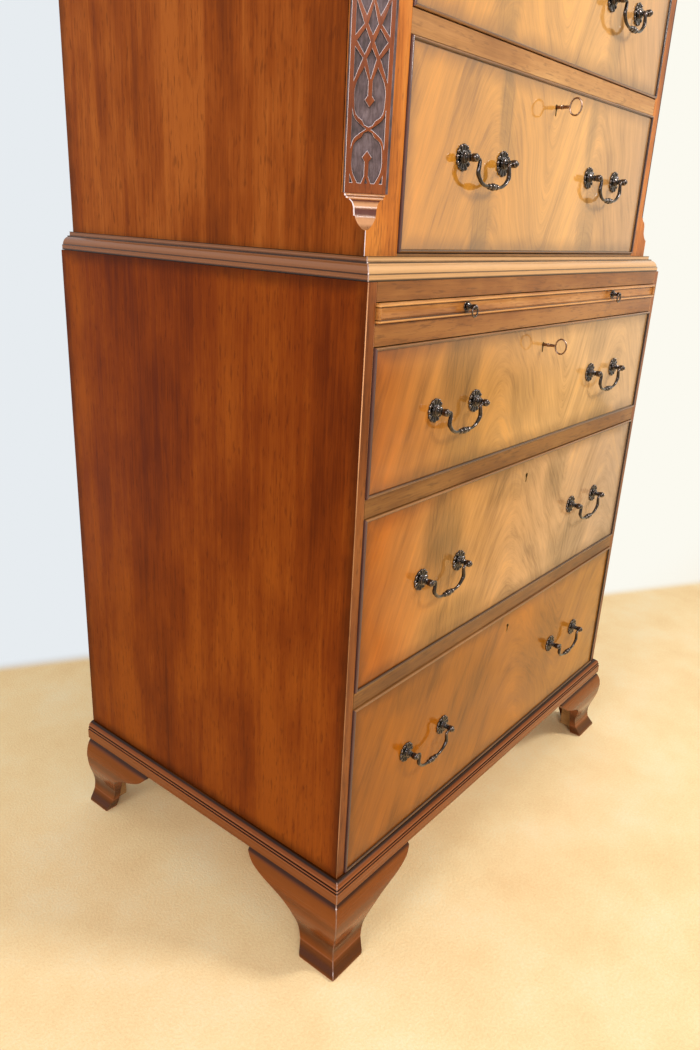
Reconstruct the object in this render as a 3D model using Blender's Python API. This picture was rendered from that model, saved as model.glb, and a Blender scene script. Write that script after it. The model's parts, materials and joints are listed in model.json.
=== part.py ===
"""Mahogany chest on chest: a lower case on ogee bracket feet and an upper case that lifts off it.

Metres, +Z up. The front faces -Y, X runs to the right seen from the front, and the origin is
the middle of the footprint at floor level. Left and right are as seen from the front.
"""
import math

import bmesh
import bpy
from mathutils import Matrix, Vector

# Clearances
GLUE_GAP = 0.0003
RUN_GAP = 0.0010
PIN_CLEARANCE = 0.0004
OVERRUN = 0.0100
WELD_DISTANCE = 0.00002
SMOOTH_DEGREES = 35
EMPTY_SIZE = 0.010

# Lower case
LOWER_WIDTH = 0.800
LOWER_DEPTH = 0.532
SIDE_BOARD = 0.0145
BACK_BOARD = 0.008
RAIL_HEIGHT = 0.022
TOP_RAIL_HEIGHT = 0.0195
DUST_BOARD = 0.008
RUNNER_WIDTH = 0.045
GUIDE_HEIGHT = 0.018

# Base frame and feet
FOOT_HEIGHT = 0.1235
FOOT_LENGTH = 0.152
FOOT_BOARD = 0.006
FOOT_BULGE = 0.0166
FOOT_BLOCK = 0.034
FOOT_BLOCK_LIFT = 0.005
BASE_HEIGHT = 0.030
BASE_PROJECTION = 0.0108

# Waist moulding
WAIST_HEIGHT = 0.0235
WAIST_LEDGE = 0.0020
WAIST_RUN = 0.0128
WAIST_CLEARANCE = 0.0005

# Upper case
UPPER_INSET = 0.020
UPPER_SETBACK = 0.023
UPPER_BOTTOM_BOARD = 0.0255
FRIEZE_HEIGHT = 0.020
CORNICE_HEIGHT = 0.058
CORNICE_PROJECTION = 0.048

# Canted corners and their fret
CANT = 0.030
POST_WIDTH = 0.0555
POST_EDGE = 0.0006
STOP_FOOT = 0.024
STOP_HEIGHT = 0.0347
FRET_RAIL = 0.0095
FRET_TAIL = 0.0497
FRET_HEAD = 0.0109
FRET_CROSSINGS = 5
FRET_THICKNESS = 0.0016
FRET_SUNK = 0.0004

# Drawer fronts, top to bottom in each case
LOWER_DRAWER_1 = 0.1645
LOWER_DRAWER_2 = 0.221
LOWER_DRAWER_3 = 0.247
UPPER_DRAWER_1 = 0.145
UPPER_DRAWER_2 = 0.167
UPPER_DRAWER_3 = 0.185
UPPER_DRAWER_4 = 0.203
MULLION = 0.022
FRONT_BOARD = 0.020
BEAD_WIDTH = 0.0034
BEAD_PROUD = 0.0030

# Drawer boxes
BOX_SIDE_CLEARANCE = 0.0008
BOX_TOP_CLEARANCE = 0.010
BOX_BACK_CLEARANCE = 0.012
BOX_WALL = 0.009
BOX_BOTTOM = 0.006

# Brushing slide
SLIDE_HEIGHT = 0.021
SLIDE_BOARD = 0.016
SLIDE_BOARD_DEPTH = 0.440
SLIDE_PROUD = 0.0045
SLIDE_BEAD = 0.0050
SLIDE_FACE_PROUD = 0.0015
SLIDE_SIDE_CLEARANCE = 0.0020

# Swan-neck handles
HANDLE_INSET = 0.1685
HANDLE_INSET_UPPER = 0.1570
PIN_PITCH = 0.0895
ROSETTE_RADIUS = 0.0145
ROSETTE_DEPTH = 0.0050
POST_RADIUS = 0.0030
POST_ROOT = 0.0030
POST_HEAD_RADIUS = 0.0046
POST_REACH = 0.0215
PIN_OUT = 0.0160
PIN_RADIUS = 0.0014
BAIL_DROP = 0.0278
BAIL_RADIUS = 0.0023
BAIL_SWELL = 0.0345

# Ring pulls of the slide
RING_PULL_INSET = 0.1725
RING_PULL_ROSETTE = 0.0070
RING_PULL_POST_RADIUS = 0.0022
RING_PULL_HEAD_RADIUS = 0.0034
RING_PULL_REACH = 0.0150
RING_PULL_OUT = 0.0110
RING_RADIUS = 0.0060
RING_WIRE = 0.0011

# Locks, keyholes and keys
KEYHOLE_DROP = 0.026
KEYHOLE_RADIUS = 0.0030
KEYHOLE_SLOT_WIDTH = 0.0024
KEYHOLE_SLOT_LENGTH = 0.0100
KEYHOLE_DEPTH = 0.012
LOCK_POCKET_FRONT = 0.0100
LOCK_POCKET_WIDTH = 0.026
LOCK_POCKET_FOOT = 0.012
BOLT_WIDTH = 0.018
BOLT_THICKNESS = 0.0035
BOLT_BACK = 0.0190
BOLT_TOP_RECESS = 0.0020
BOLT_THROW = 0.006
MORTISE_DEPTH = 0.008
MORTISE_CLEARANCE = 0.0010
KEY_REACH = 0.0355
KEY_SHAFT_RADIUS = 0.0020
KEY_BOW_HEIGHT = 0.0220
KEY_BOW_LENGTH = 0.0180
KEY_BOW_WIRE = 0.0011
KEY_INSIDE = 0.0135
KEY_BIT_LENGTH = 0.0030
KEY_BIT_WIDTH = 0.0014
KEY_BIT_DROP = 0.0080

# Counts of sides and steps on round shapes
POST_SIDES = 6
BAIL_SIDES = 5
KEY_SIDES = 8
KEY_BOW_STEPS = 12
RING_STEPS = 12
PIN_HOLE_SIDES = 6

# Outlines, as shares of the sizes that they follow
FOOT_PROFILE_SHARES = (
    (0.41, 1.000), (0.66, 0.960), (0.88, 0.890), (0.99, 0.810), (1.00, 0.735), (0.88, 0.600),
    (0.65, 0.490), (0.44, 0.400), (0.32, 0.330), (0.32, 0.260), (0.42, 0.170), (0.66, 0.110),
    (0.92, 0.050), (0.95, 0.000),
)
FOOT_ARCH_SHARES = (
    (1.00, 0.960), (0.960, 0.910), (0.90, 0.850), (0.80, 0.790), (0.68, 0.730), (0.56, 0.665),
    (0.47, 0.580), (0.42, 0.460), (0.385, 0.330), (0.34, 0.150), (0.29, 0.000),
)
BASE_PROFILE_SHARES = (
    (0.86, 0.000), (1.00, 0.080), (1.00, 0.540), (0.86, 0.575), (0.86, 0.600), (0.92, 0.660),
    (0.78, 0.720), (0.80, 0.780), (0.62, 0.900), (0.18, 1.000),
)
WAIST_PROFILE_SHARES = (
    (0.00, 0.000), (0.00, 0.270), (0.10, 0.300), (0.22, 0.430), (0.42, 0.580), (0.66, 0.710),
    (0.70, 0.720), (0.72, 0.780), (1.00, 0.800), (1.00, 0.970), (0.96, 1.000),
)
CORNICE_PROFILE_SHARES = (
    (0.06, 0.000), (0.10, 0.070), (0.06, 0.140), (0.06, 0.220), (0.16, 0.250), (0.20, 0.370),
    (0.34, 0.500), (0.56, 0.580), (0.60, 0.590), (0.60, 0.700), (0.68, 0.720), (0.76, 0.830),
    (0.94, 0.900), (0.96, 0.910), (0.98, 0.990), (1.00, 1.000),
)
STOP_SHARES = (
    (0.02, 0.00), (0.13, 0.02), (0.27, 0.11), (0.40, 0.21), (0.50, 0.35), (0.53, 0.50),
    (0.55, 0.63), (0.63, 0.76), (0.78, 0.86), (0.88, 0.93), (0.93, 0.94), (0.93, 1.00),
)
FRET_POCKET_SHARES = [
    (0.00, 0.021), (0.20, 0.038), (0.31, 0.097), (0.60, 0.165), (0.71, 0.276), (0.71, 0.487),
    (0.31, 0.717), (0.095, 0.560), (0.095, 0.388), (0.22, 0.337), (0.00, 0.258),
]
FRET_SPANDREL_SHARES = [(0.11, 0.000), (0.42, 0.061), (0.66, 0.125), (0.79, 0.243)]
FRET_KITE_SHARES = [(0.00, 0.579), (0.23, 0.807), (0.00, 0.928)]
FRET_EDGE_SHARES = [(0.79, 0.539), (0.79, 0.941), (0.40, 0.809)]
FRET_DIAMOND_SHARES = [(0.09, 0.000), (0.33, 0.150), (0.71, 0.000)]
BEAD_SHARES = ((0.00, 0.35), (0.22, 0.85), (0.50, 1.00), (0.78, 0.85), (1.00, 0.00))
POST_PROFILE_SHARES = ((0.20, 1.0), (0.40, 1.4), (0.52, 0.9))
POST_HEAD_SHARES = ((-0.95, 0.60), (-0.55, 1.00), (0.55, 1.00), (0.95, 0.60))
FINIAL_TIP_SHARE = 0.25
ROSETTE_SHARES = ((0.20, 1.00), (0.70, 0.80), (1.00, 0.30))
BAIL_PATH_SHARES = (
    (0.985, 0.06, 0.9), (0.975, 0.22, 1.0), (1.01, 0.46, 1.1), (0.97, 0.62, 1.1), (0.80, 0.84, 1.0),
    (0.56, 0.97, 0.9), (0.34, 1.00, 0.85), (0.26, 1.00, 1.4), (0.18, 1.00, 1.4), (0.12, 1.00, 0.95),
    (0.05, 1.00, 1.7),
)

# Places worked out from the sizes above
HALF_LOWER = LOWER_WIDTH / 2
HALF_UPPER = HALF_LOWER - UPPER_INSET
FRONT = (KEY_REACH - LOWER_DEPTH) / 2
BACK = FRONT + LOWER_DEPTH
UPPER_FRONT = FRONT + UPPER_SETBACK
BASE_TOP = FOOT_HEIGHT + BASE_HEIGHT
LOWER_INNER = HALF_LOWER - SIDE_BOARD
UPPER_INNER = HALF_UPPER - SIDE_BOARD
UPPER_OPENING = HALF_UPPER - POST_WIDTH
BACK_FACE = BACK - BACK_BOARD
DRAWER_3_BOTTOM = BASE_TOP + RUN_GAP
DRAWER_3_TOP = DRAWER_3_BOTTOM + LOWER_DRAWER_3
DRAWER_2_BOTTOM = DRAWER_3_TOP + RAIL_HEIGHT + 2 * RUN_GAP
DRAWER_2_TOP = DRAWER_2_BOTTOM + LOWER_DRAWER_2
DRAWER_1_BOTTOM = DRAWER_2_TOP + RAIL_HEIGHT + 2 * RUN_GAP
DRAWER_1_TOP = DRAWER_1_BOTTOM + LOWER_DRAWER_1
SLIDE_BOTTOM = DRAWER_1_TOP + RAIL_HEIGHT + 2 * RUN_GAP
SLIDE_TOP = SLIDE_BOTTOM + SLIDE_HEIGHT
LOWER_TOP = SLIDE_TOP + RUN_GAP + TOP_RAIL_HEIGHT
UPPER_BOTTOM = LOWER_TOP + GLUE_GAP
UPPER_FLOOR = UPPER_BOTTOM + UPPER_BOTTOM_BOARD
UPPER_4_BOTTOM = UPPER_FLOOR + RUN_GAP
UPPER_4_TOP = UPPER_4_BOTTOM + UPPER_DRAWER_4
UPPER_3_BOTTOM = UPPER_4_TOP + RAIL_HEIGHT + 2 * RUN_GAP
UPPER_3_TOP = UPPER_3_BOTTOM + UPPER_DRAWER_3
UPPER_2_BOTTOM = UPPER_3_TOP + RAIL_HEIGHT + 2 * RUN_GAP
UPPER_2_TOP = UPPER_2_BOTTOM + UPPER_DRAWER_2
UPPER_1_BOTTOM = UPPER_2_TOP + RAIL_HEIGHT + 2 * RUN_GAP
UPPER_1_TOP = UPPER_1_BOTTOM + UPPER_DRAWER_1
FRIEZE_BOTTOM = UPPER_1_TOP + RUN_GAP
CORNICE_BOTTOM = FRIEZE_BOTTOM + FRIEZE_HEIGHT
STOP_BOTTOM = UPPER_BOTTOM + WAIST_HEIGHT + STOP_FOOT
STOP_TOP = STOP_BOTTOM + STOP_HEIGHT
FRET_CROSSING = STOP_TOP + FRET_RAIL + FRET_TAIL
FRET_LAST_CROSSING = CORNICE_BOTTOM - FRET_HEAD - FRET_RAIL - FRET_TAIL
FRET_PERIOD = (FRET_LAST_CROSSING - FRET_CROSSING) / (FRET_CROSSINGS - 1)
FRET_GROUND = CANT + FRET_THICKNESS * math.sqrt(2)
POST_REAR = UPPER_FRONT + FRET_GROUND + GLUE_GAP

# Finishes: linear colour, roughness, metallic
SIDE_MAHOGANY = ((0.20, 0.060, 0.018), 0.35, 0.0)
RAIL_MAHOGANY = ((0.34, 0.150, 0.050), 0.35, 0.0)
FLAME_VENEER = ((0.50, 0.250, 0.085), 0.30, 0.0)
FRET_MAHOGANY = ((0.36, 0.130, 0.040), 0.40, 0.0)
DRAWER_LINING = ((0.42, 0.270, 0.130), 0.60, 0.0)
BACK_PLY = ((0.26, 0.140, 0.065), 0.70, 0.0)
DARK_BRONZE = ((0.070, 0.055, 0.050), 0.32, 1.0)
KEY_STEEL = ((0.32, 0.28, 0.25), 0.30, 1.0)


def clear_scene():
    """Empties the scene of whatever it opened with."""
    for thing in list(bpy.data.objects):
        bpy.data.objects.remove(thing, do_unlink=True)


def finish_material(name, finish):
    """A Principled material with one colour, roughness and metallic value."""
    colour, roughness, metallic = finish
    material = bpy.data.materials.new(name)
    material.use_nodes = True
    shader = material.node_tree.nodes["Principled BSDF"]
    shader.inputs["Base Color"].default_value = (*colour, 1.0)
    shader.inputs["Roughness"].default_value = roughness
    shader.inputs["Metallic"].default_value = metallic
    material.diffuse_color = (*colour, 1.0)
    return material


def add_object(name, shape, finish=None):
    """Turns a bmesh into an object of the scene, with its own material."""
    bmesh.ops.recalc_face_normals(shape, faces=shape.faces)
    mesh = bpy.data.meshes.new(name)
    shape.to_mesh(mesh)
    shape.free()
    thing = bpy.data.objects.new(name, mesh)
    bpy.context.scene.collection.objects.link(thing)
    if finish:
        mesh.materials.append(finish_material(name + "_finish", finish))
    return thing


def loft_into(shape, loops, closed=False):
    """Adds a closed skin through loops of equal counts: capped at both ends, or closed on itself."""
    rings = [[shape.verts.new(point) for point in loop] for loop in loops]
    count = len(loops[0])
    pairs = list(zip(rings, rings[1:]))
    if closed:
        pairs.append((rings[-1], rings[0]))
    for low, high in pairs:
        for index in range(count):
            following = (index + 1) % count
            shape.faces.new((low[index], low[following], high[following], high[index]))
    if not closed:
        shape.faces.new(rings[0])
        shape.faces.new(rings[-1])


def loft(name, loops, finish=None, closed=False):
    """One object skinned through loops."""
    shape = bmesh.new()
    loft_into(shape, loops, closed)
    return add_object(name, shape, finish)


def plan_loop(left, right, front, back, z):
    """A rectangle seen from above."""
    return [(left, front, z), (right, front, z), (right, back, z), (left, back, z)]


def front_loop(left, right, bottom, top, y):
    """A rectangle seen from the front."""
    return [(left, y, bottom), (right, y, bottom), (right, y, top), (left, y, top)]


def block(name, left, right, front, back, bottom, top, finish=None):
    """A plain board."""
    low = plan_loop(left, right, front, back, bottom)
    high = plan_loop(left, right, front, back, top)
    return loft(name, [low, high], finish)


def circle_across(x, y, z, radius, sides):
    """A circle of points about an axis along Y."""
    angles = [2 * math.pi * step / sides for step in range(sides)]
    return [(x + radius * math.cos(a), y, z + radius * math.sin(a)) for a in angles]


def apply_boolean(target, tool, operation):
    """Joins a tool to a target or cuts it out, and removes the tool."""
    modifier = target.modifiers.new(operation.lower(), "BOOLEAN")
    modifier.operation = operation
    modifier.object = tool
    tool.hide_render = True
    tool.display_type = "WIRE"
    graph = bpy.context.evaluated_depsgraph_get()
    mesh = bpy.data.meshes.new_from_object(target.evaluated_get(graph))
    target.modifiers.clear()
    old = target.data
    target.data = mesh
    bpy.data.meshes.remove(old)
    mesh.name = target.name
    bpy.data.objects.remove(tool, do_unlink=True)


def shade_round(thing):
    """Smooth shading with the true edges kept sharp."""
    thing.data.shade_smooth()
    thing.data.set_sharp_from_angle(angle=math.radians(SMOOTH_DEGREES))


def set_origin(thing, place):
    """Moves an object's origin to a place and leaves its shape where it is."""
    thing.data.transform(Matrix.Translation(-Vector(place)))
    thing.location = place


def carrier(name, place, parent=None):
    """An empty that carries the pieces of one moving body."""
    empty = bpy.data.objects.new(name, None)
    empty.empty_display_size = EMPTY_SIZE
    empty.location = place
    bpy.context.scene.collection.objects.link(empty)
    if parent:
        attach(empty, parent)
    return empty


def attach(thing, parent):
    """Parents a thing and leaves it where it is."""
    bpy.context.view_layer.update()
    thing.parent = parent
    thing.matrix_parent_inverse = parent.matrix_world.inverted()


def foot(name, hand, at_back):
    """One ogee bracket foot: two mitred brackets on a corner block, the rear one plain on a back foot."""
    corner_y = BACK if at_back else FRONT
    outward = 1 if at_back else -1
    top = FOOT_HEIGHT - GLUE_GAP
    profile = [(FOOT_BULGE * out, top * up) for out, up in FOOT_PROFILE_SHARES]
    profile += [(-FOOT_BOARD, 0), (-FOOT_BOARD, top)]
    side_end = []
    corner = []
    front_end = []
    for out, z in profile:
        proud = min(out, 0) if at_back else out
        x = hand * (HALF_LOWER + out)
        side_end.append((x, corner_y - outward * FOOT_LENGTH, z))
        corner.append((x, corner_y + outward * proud, z))
        front_end.append((hand * (HALF_LOWER - FOOT_LENGTH), corner_y + outward * proud, z))
    thing = loft(name, [side_end, corner, front_end], SIDE_MAHOGANY)
    arch = [(FOOT_LENGTH + OVERRUN, -OVERRUN), (FOOT_LENGTH + OVERRUN, top * FOOT_ARCH_SHARES[0][1])]
    arch += [(FOOT_LENGTH * along, top * up) for along, up in FOOT_ARCH_SHARES]
    arch.append((FOOT_LENGTH * FOOT_ARCH_SHARES[-1][0], -OVERRUN))
    near = FOOT_BOARD + OVERRUN
    across = [
        [(hand * (HALF_LOWER - along), corner_y + outward * depth, z) for along, z in arch]
        for depth in (near, -near)
    ]
    endways = [
        [(hand * (HALF_LOWER + depth), corner_y - outward * along, z) for along, z in arch]
        for depth in (near, -near)
    ]
    for cutter in (across, endways):
        apply_boolean(thing, loft(name + "_arch", cutter), "DIFFERENCE")
    x_reach = sorted(hand * (HALF_LOWER - depth) for depth in (FOOT_BOARD / 2, FOOT_BLOCK))
    y_reach = sorted(corner_y - outward * depth for depth in (FOOT_BOARD / 2, FOOT_BLOCK))
    corner_block = block(name + "_block", *x_reach, *y_reach, FOOT_BLOCK_LIFT, top)
    apply_boolean(thing, corner_block, "UNION")
    shade_round(thing)
    return thing


def base_frame():
    """The moulded frame that the lower case stands on, hollow below."""
    inner = HALF_LOWER - RUNNER_WIDTH
    ceiling = BASE_TOP - DUST_BOARD
    hollow = (-inner, inner, FRONT + RUNNER_WIDTH, BACK - RUNNER_WIDTH)
    loops = [plan_loop(*hollow, ceiling), plan_loop(*hollow, FOOT_HEIGHT)]
    for out, up in BASE_PROFILE_SHARES:
        reach = HALF_LOWER + BASE_PROJECTION * out
        front = FRONT - BASE_PROJECTION * out
        loops.append(plan_loop(-reach, reach, front, BACK, FOOT_HEIGHT + BASE_HEIGHT * up))
    return loft("base_frame", loops, RAIL_MAHOGANY)


def lower_divider(name, bottom):
    """A drawer divider: front rail, runners and rear rail round a thin dust board."""
    half = LOWER_INNER - GLUE_GAP
    back = BACK_FACE - GLUE_GAP
    inner = half - RUNNER_WIDTH
    top = bottom + RAIL_HEIGHT
    hollow = (-inner, inner, FRONT + RUNNER_WIDTH, back - RUNNER_WIDTH)
    edge = (-half, half, FRONT, back)
    loops = [
        plan_loop(*hollow, top - DUST_BOARD),
        plan_loop(*hollow, bottom),
        plan_loop(*edge, bottom),
        plan_loop(*edge, top),
    ]
    return loft(name, loops, RAIL_MAHOGANY)


def upper_plan(z, inset=0.0):
    """The plan of a board of the upper case: its front lies between the corner posts."""
    near = UPPER_OPENING - GLUE_GAP - inset
    half = UPPER_INNER - GLUE_GAP - inset
    front = UPPER_FRONT + inset
    shoulder = POST_REAR + GLUE_GAP + inset
    back = BACK_FACE - GLUE_GAP - inset
    right_side = [(near, front, z), (near, shoulder, z), (half, shoulder, z), (half, back, z)]
    return right_side + [(-x, y, up) for x, y, up in reversed(right_side)]


def add_guides(board, top):
    """Guides beside a drawer, filling the space behind the corner posts."""
    near = UPPER_OPENING
    far = UPPER_INNER - GLUE_GAP
    for hand in (-1, 1):
        left, right = sorted((hand * near, hand * far))
        guide = block(
            "guide", left, right, POST_REAR + GLUE_GAP, BACK_FACE - GLUE_GAP,
            top - DUST_BOARD / 2, top + GUIDE_HEIGHT)
        apply_boolean(board, guide, "UNION")


def upper_divider(name, bottom):
    """A divider of the upper case, shouldered behind the posts, with its drawer guides."""
    top = bottom + RAIL_HEIGHT
    loops = [
        upper_plan(top - DUST_BOARD, RUNNER_WIDTH),
        upper_plan(bottom, RUNNER_WIDTH),
        upper_plan(bottom),
        upper_plan(top),
    ]
    thing = loft(name, loops, RAIL_MAHOGANY)
    add_guides(thing, top)
    return thing


def cut_mortise(rail, bottom, lock_front):
    """The hole in a rail's underside that the lock bolt is thrown into."""
    half = BOLT_WIDTH / 2 + MORTISE_CLEARANCE
    back = lock_front + BOLT_BACK
    cutter = block(
        "mortise", -half, half, back - BOLT_THICKNESS - MORTISE_CLEARANCE,
        back + MORTISE_CLEARANCE, bottom - OVERRUN, bottom + MORTISE_DEPTH,
    )
    apply_boolean(rail, cutter, "DIFFERENCE")


def waist_moulding():
    """The mitred moulding round three sides, which the upper case drops into."""
    bottom = LOWER_TOP + GLUE_GAP
    height = WAIST_HEIGHT - GLUE_GAP
    front_inset = UPPER_SETBACK - WAIST_CLEARANCE
    side_inset = UPPER_INSET - WAIST_CLEARANCE
    profile = []
    for along, up in WAIST_PROFILE_SHARES:
        inset = WAIST_LEDGE + WAIST_RUN * along
        profile.append((inset, inset, bottom + height * up))
    profile += [(side_inset, front_inset, bottom + height), (side_inset, front_inset, bottom)]
    loops = []
    for hand, at_front in ((-1, False), (-1, True), (1, True), (1, False)):
        loops.append([
            (hand * (HALF_LOWER - side), FRONT + ahead if at_front else BACK, z)
            for side, ahead, z in profile
        ])
    return loft("waist_moulding", loops, RAIL_MAHOGANY)


def lower_case(body):
    """The fixed pieces of the lower case."""
    low = BASE_TOP + GLUE_GAP
    half = LOWER_INNER - GLUE_GAP
    pieces = [base_frame(), waist_moulding()]
    for hand, side in ((-1, "left"), (1, "right")):
        pieces.append(foot("foot_front_" + side, hand, False))
        pieces.append(foot("foot_back_" + side, hand, True))
        edges = sorted((hand * HALF_LOWER, hand * LOWER_INNER))
        pieces.append(block("lower_side_" + side, *edges, FRONT, BACK, low, LOWER_TOP, SIDE_MAHOGANY))
    pieces.append(block("lower_back", -half, half, BACK_FACE, BACK, low, LOWER_TOP, BACK_PLY))
    back = BACK_FACE - GLUE_GAP
    pieces.append(block(
        "lower_top_board", -half, half, FRONT, back, SLIDE_TOP + RUN_GAP, LOWER_TOP, RAIL_MAHOGANY))
    for number, under in ((1, DRAWER_1_TOP), (2, DRAWER_2_TOP), (3, DRAWER_3_TOP)):
        rail = lower_divider("lower_divider_%d" % number, under + RUN_GAP)
        if number == 1:
            cut_mortise(rail, under + RUN_GAP, FRONT)
        pieces.append(rail)
    for piece in pieces:
        attach(piece, body)


def fret_place(hand, along, up):
    """A point of the fret, given across the cant from its middle and upward."""
    middle_x = hand * (HALF_UPPER - CANT / 2)
    middle_y = UPPER_FRONT + CANT / 2
    step = along / math.sqrt(2)
    return Vector((middle_x - hand * step, middle_y - step, up))


def mirrored(points):
    """The same outline on the other side of the cant's middle, run backwards."""
    return [(-across, up) for across, up in reversed(points)]


def clipped(points, limit):
    """An outline cut off level at a height, or as it was where it stays below."""
    kept = []
    for (x0, y0), (x1, y1) in zip(points, points[1:] + points[:1]):
        if y0 <= limit:
            kept.append((x0, y0))
        if (y0 <= limit) != (y1 <= limit):
            kept.append((x0 + (x1 - x0) * (limit - y0) / (y1 - y0), limit))
    return kept


def fret_holes(limit):
    """The ground openings from one crossing of the fret toward the next diamond, up to a limit."""
    pocket = FRET_POCKET_SHARES + mirrored(FRET_POCKET_SHARES)[1:-1]
    kite = FRET_KITE_SHARES + mirrored(FRET_KITE_SHARES)[1:-1]
    outlines = (pocket, kite, FRET_EDGE_SHARES, mirrored(FRET_EDGE_SHARES))
    return [clipped(outline, limit) for outline in outlines]


def fret_openings():
    """Every ground opening of one fret, as (across, up) outlines above the first crossing."""
    openings = []
    half = CANT / math.sqrt(2)
    tall = FRET_PERIOD / 2
    tail_share = FRET_TAIL / tall
    below = [(across, -up) for across, up in reversed(FRET_SPANDREL_SHARES[1:])]
    spandrel = below + FRET_SPANDREL_SHARES
    diamond_below = [(across, -up) for across, up in reversed(FRET_DIAMOND_SHARES[1:-1])]
    diamond = FRET_DIAMOND_SHARES + diamond_below
    for crossing in range(FRET_CROSSINGS):
        base = crossing * FRET_PERIOD
        for turn, last in ((1, FRET_CROSSINGS - 1), (-1, 0)):
            for outline in fret_holes(tail_share if crossing == last else 1):
                openings.append([(half * x, base + turn * tall * y) for x, y in outline])
        for outline in (spandrel, mirrored(spandrel)):
            openings.append([(half * x, base + tall * y) for x, y in outline])
        if crossing:
            for outline in (diamond, mirrored(diamond)):
                openings.append([(half * x, base - tall + tall * y) for x, y in outline])
    return openings


def fret_plate(name, hand):
    """The pierced plate on a canted corner: a filled flat curve with its openings, thickened."""
    half = CANT / math.sqrt(2)
    low = STOP_TOP - FRET_CROSSING - FRET_SUNK
    high = CORNICE_BOTTOM - FRET_HEAD - FRET_CROSSING
    outlines = [[(-half, low), (half, low), (half, high), (-half, high)]]
    outlines += fret_openings()
    curve = bpy.data.curves.new(name, "CURVE")
    curve.dimensions = "2D"
    curve.fill_mode = "BOTH"
    curve.extrude = (FRET_THICKNESS + FRET_SUNK) / 2
    for outline in outlines:
        spline = curve.splines.new("POLY")
        spline.points.add(len(outline) - 1)
        spline.use_cyclic_u = True
        for point, (across, up) in zip(spline.points, outline):
            point.co = (across, up, 0, 1)
    guide = bpy.data.objects.new(name + "_curve", curve)
    bpy.context.scene.collection.objects.link(guide)
    graph = bpy.context.evaluated_depsgraph_get()
    mesh = bpy.data.meshes.new_from_object(guide.evaluated_get(graph))
    bpy.data.objects.remove(guide, do_unlink=True)
    middle = -(FRET_THICKNESS + FRET_SUNK) / 2 + FRET_THICKNESS
    shape = bmesh.new()
    shape.from_mesh(mesh)
    bmesh.ops.remove_doubles(shape, verts=shape.verts, dist=WELD_DISTANCE)
    outward = Vector((hand, -1, 0)).normalized()
    for vertex in shape.verts:
        place = fret_place(hand, vertex.co.x, FRET_CROSSING + vertex.co.y)
        vertex.co = place + outward * (vertex.co.z + middle - FRET_THICKNESS)
    return add_object(name, shape)


def corner_post(side, hand):
    """A canted corner post with its lamb's-tongue stop and the fret planted on it."""
    levels = [(UPPER_BOTTOM, POST_EDGE)]
    levels += [(STOP_BOTTOM + STOP_HEIGHT * up, CANT * depth) for depth, up in STOP_SHARES]
    levels += [(STOP_TOP + FRET_SUNK, FRET_GROUND), (CORNICE_BOTTOM, FRET_GROUND)]
    loops = []
    for z, depth in levels:
        loops.append([
            (hand * HALF_UPPER, UPPER_FRONT + depth, z),
            (hand * (HALF_UPPER - depth), UPPER_FRONT, z),
            (hand * UPPER_OPENING, UPPER_FRONT, z),
            (hand * UPPER_OPENING, POST_REAR, z),
            (hand * HALF_UPPER, POST_REAR, z),
        ])
    post = loft("corner_post_" + side, loops, FRET_MAHOGANY)
    apply_boolean(post, fret_plate("fret_" + side, hand), "UNION")
    return post


def cornice():
    """The top board between the sides with the cornice moulding over it."""
    board_loops = [upper_plan(FRIEZE_BOTTOM), upper_plan(CORNICE_BOTTOM + CORNICE_HEIGHT / 2)]
    board = loft("cornice", board_loops, RAIL_MAHOGANY)
    loops = []
    for out, up in CORNICE_PROFILE_SHARES:
        reach = CORNICE_PROJECTION * out
        side = HALF_UPPER + reach
        front = UPPER_FRONT - reach
        slant = CANT + reach * (2 - math.sqrt(2))
        z = CORNICE_BOTTOM + GLUE_GAP + CORNICE_HEIGHT * up
        loops.append([
            (-side, BACK, z), (-side, front + slant, z), (-side + slant, front, z),
            (side - slant, front, z), (side, front + slant, z), (side, BACK, z),
        ])
    apply_boolean(board, loft("cornice_cap", loops), "UNION")
    return board


def upper_case(body):
    """The fixed pieces of the upper case."""
    half = UPPER_INNER - GLUE_GAP
    pieces = [cornice()]
    for hand, side in ((-1, "left"), (1, "right")):
        pieces.append(corner_post(side, hand))
        edges = sorted((hand * HALF_UPPER, hand * UPPER_INNER))
        pieces.append(block(
            "upper_side_" + side, *edges, POST_REAR + GLUE_GAP, BACK, UPPER_BOTTOM, CORNICE_BOTTOM,
            SIDE_MAHOGANY))
    pieces.append(block(
        "upper_back", -half, half, BACK_FACE, BACK, UPPER_BOTTOM, CORNICE_BOTTOM, BACK_PLY))
    floor_loops = [upper_plan(UPPER_BOTTOM), upper_plan(UPPER_FLOOR)]
    floor = loft("upper_bottom_board", floor_loops, RAIL_MAHOGANY)
    add_guides(floor, UPPER_FLOOR)
    pieces.append(floor)
    for number, under in ((1, UPPER_2_TOP), (2, UPPER_3_TOP), (3, UPPER_4_TOP)):
        bottom = under + RUN_GAP
        rail = upper_divider("upper_divider_%d" % number, bottom)
        if number == 1:
            upright = block(
                "upright", -MULLION / 2, MULLION / 2, UPPER_FRONT, BACK_FACE - GLUE_GAP,
                bottom + RAIL_HEIGHT - DUST_BOARD / 2, FRIEZE_BOTTOM - GLUE_GAP)
            apply_boolean(rail, upright, "UNION")
        if number == 3:
            cut_mortise(rail, bottom, UPPER_FRONT)
        pieces.append(rail)
    for piece in pieces:
        attach(piece, body)


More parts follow.
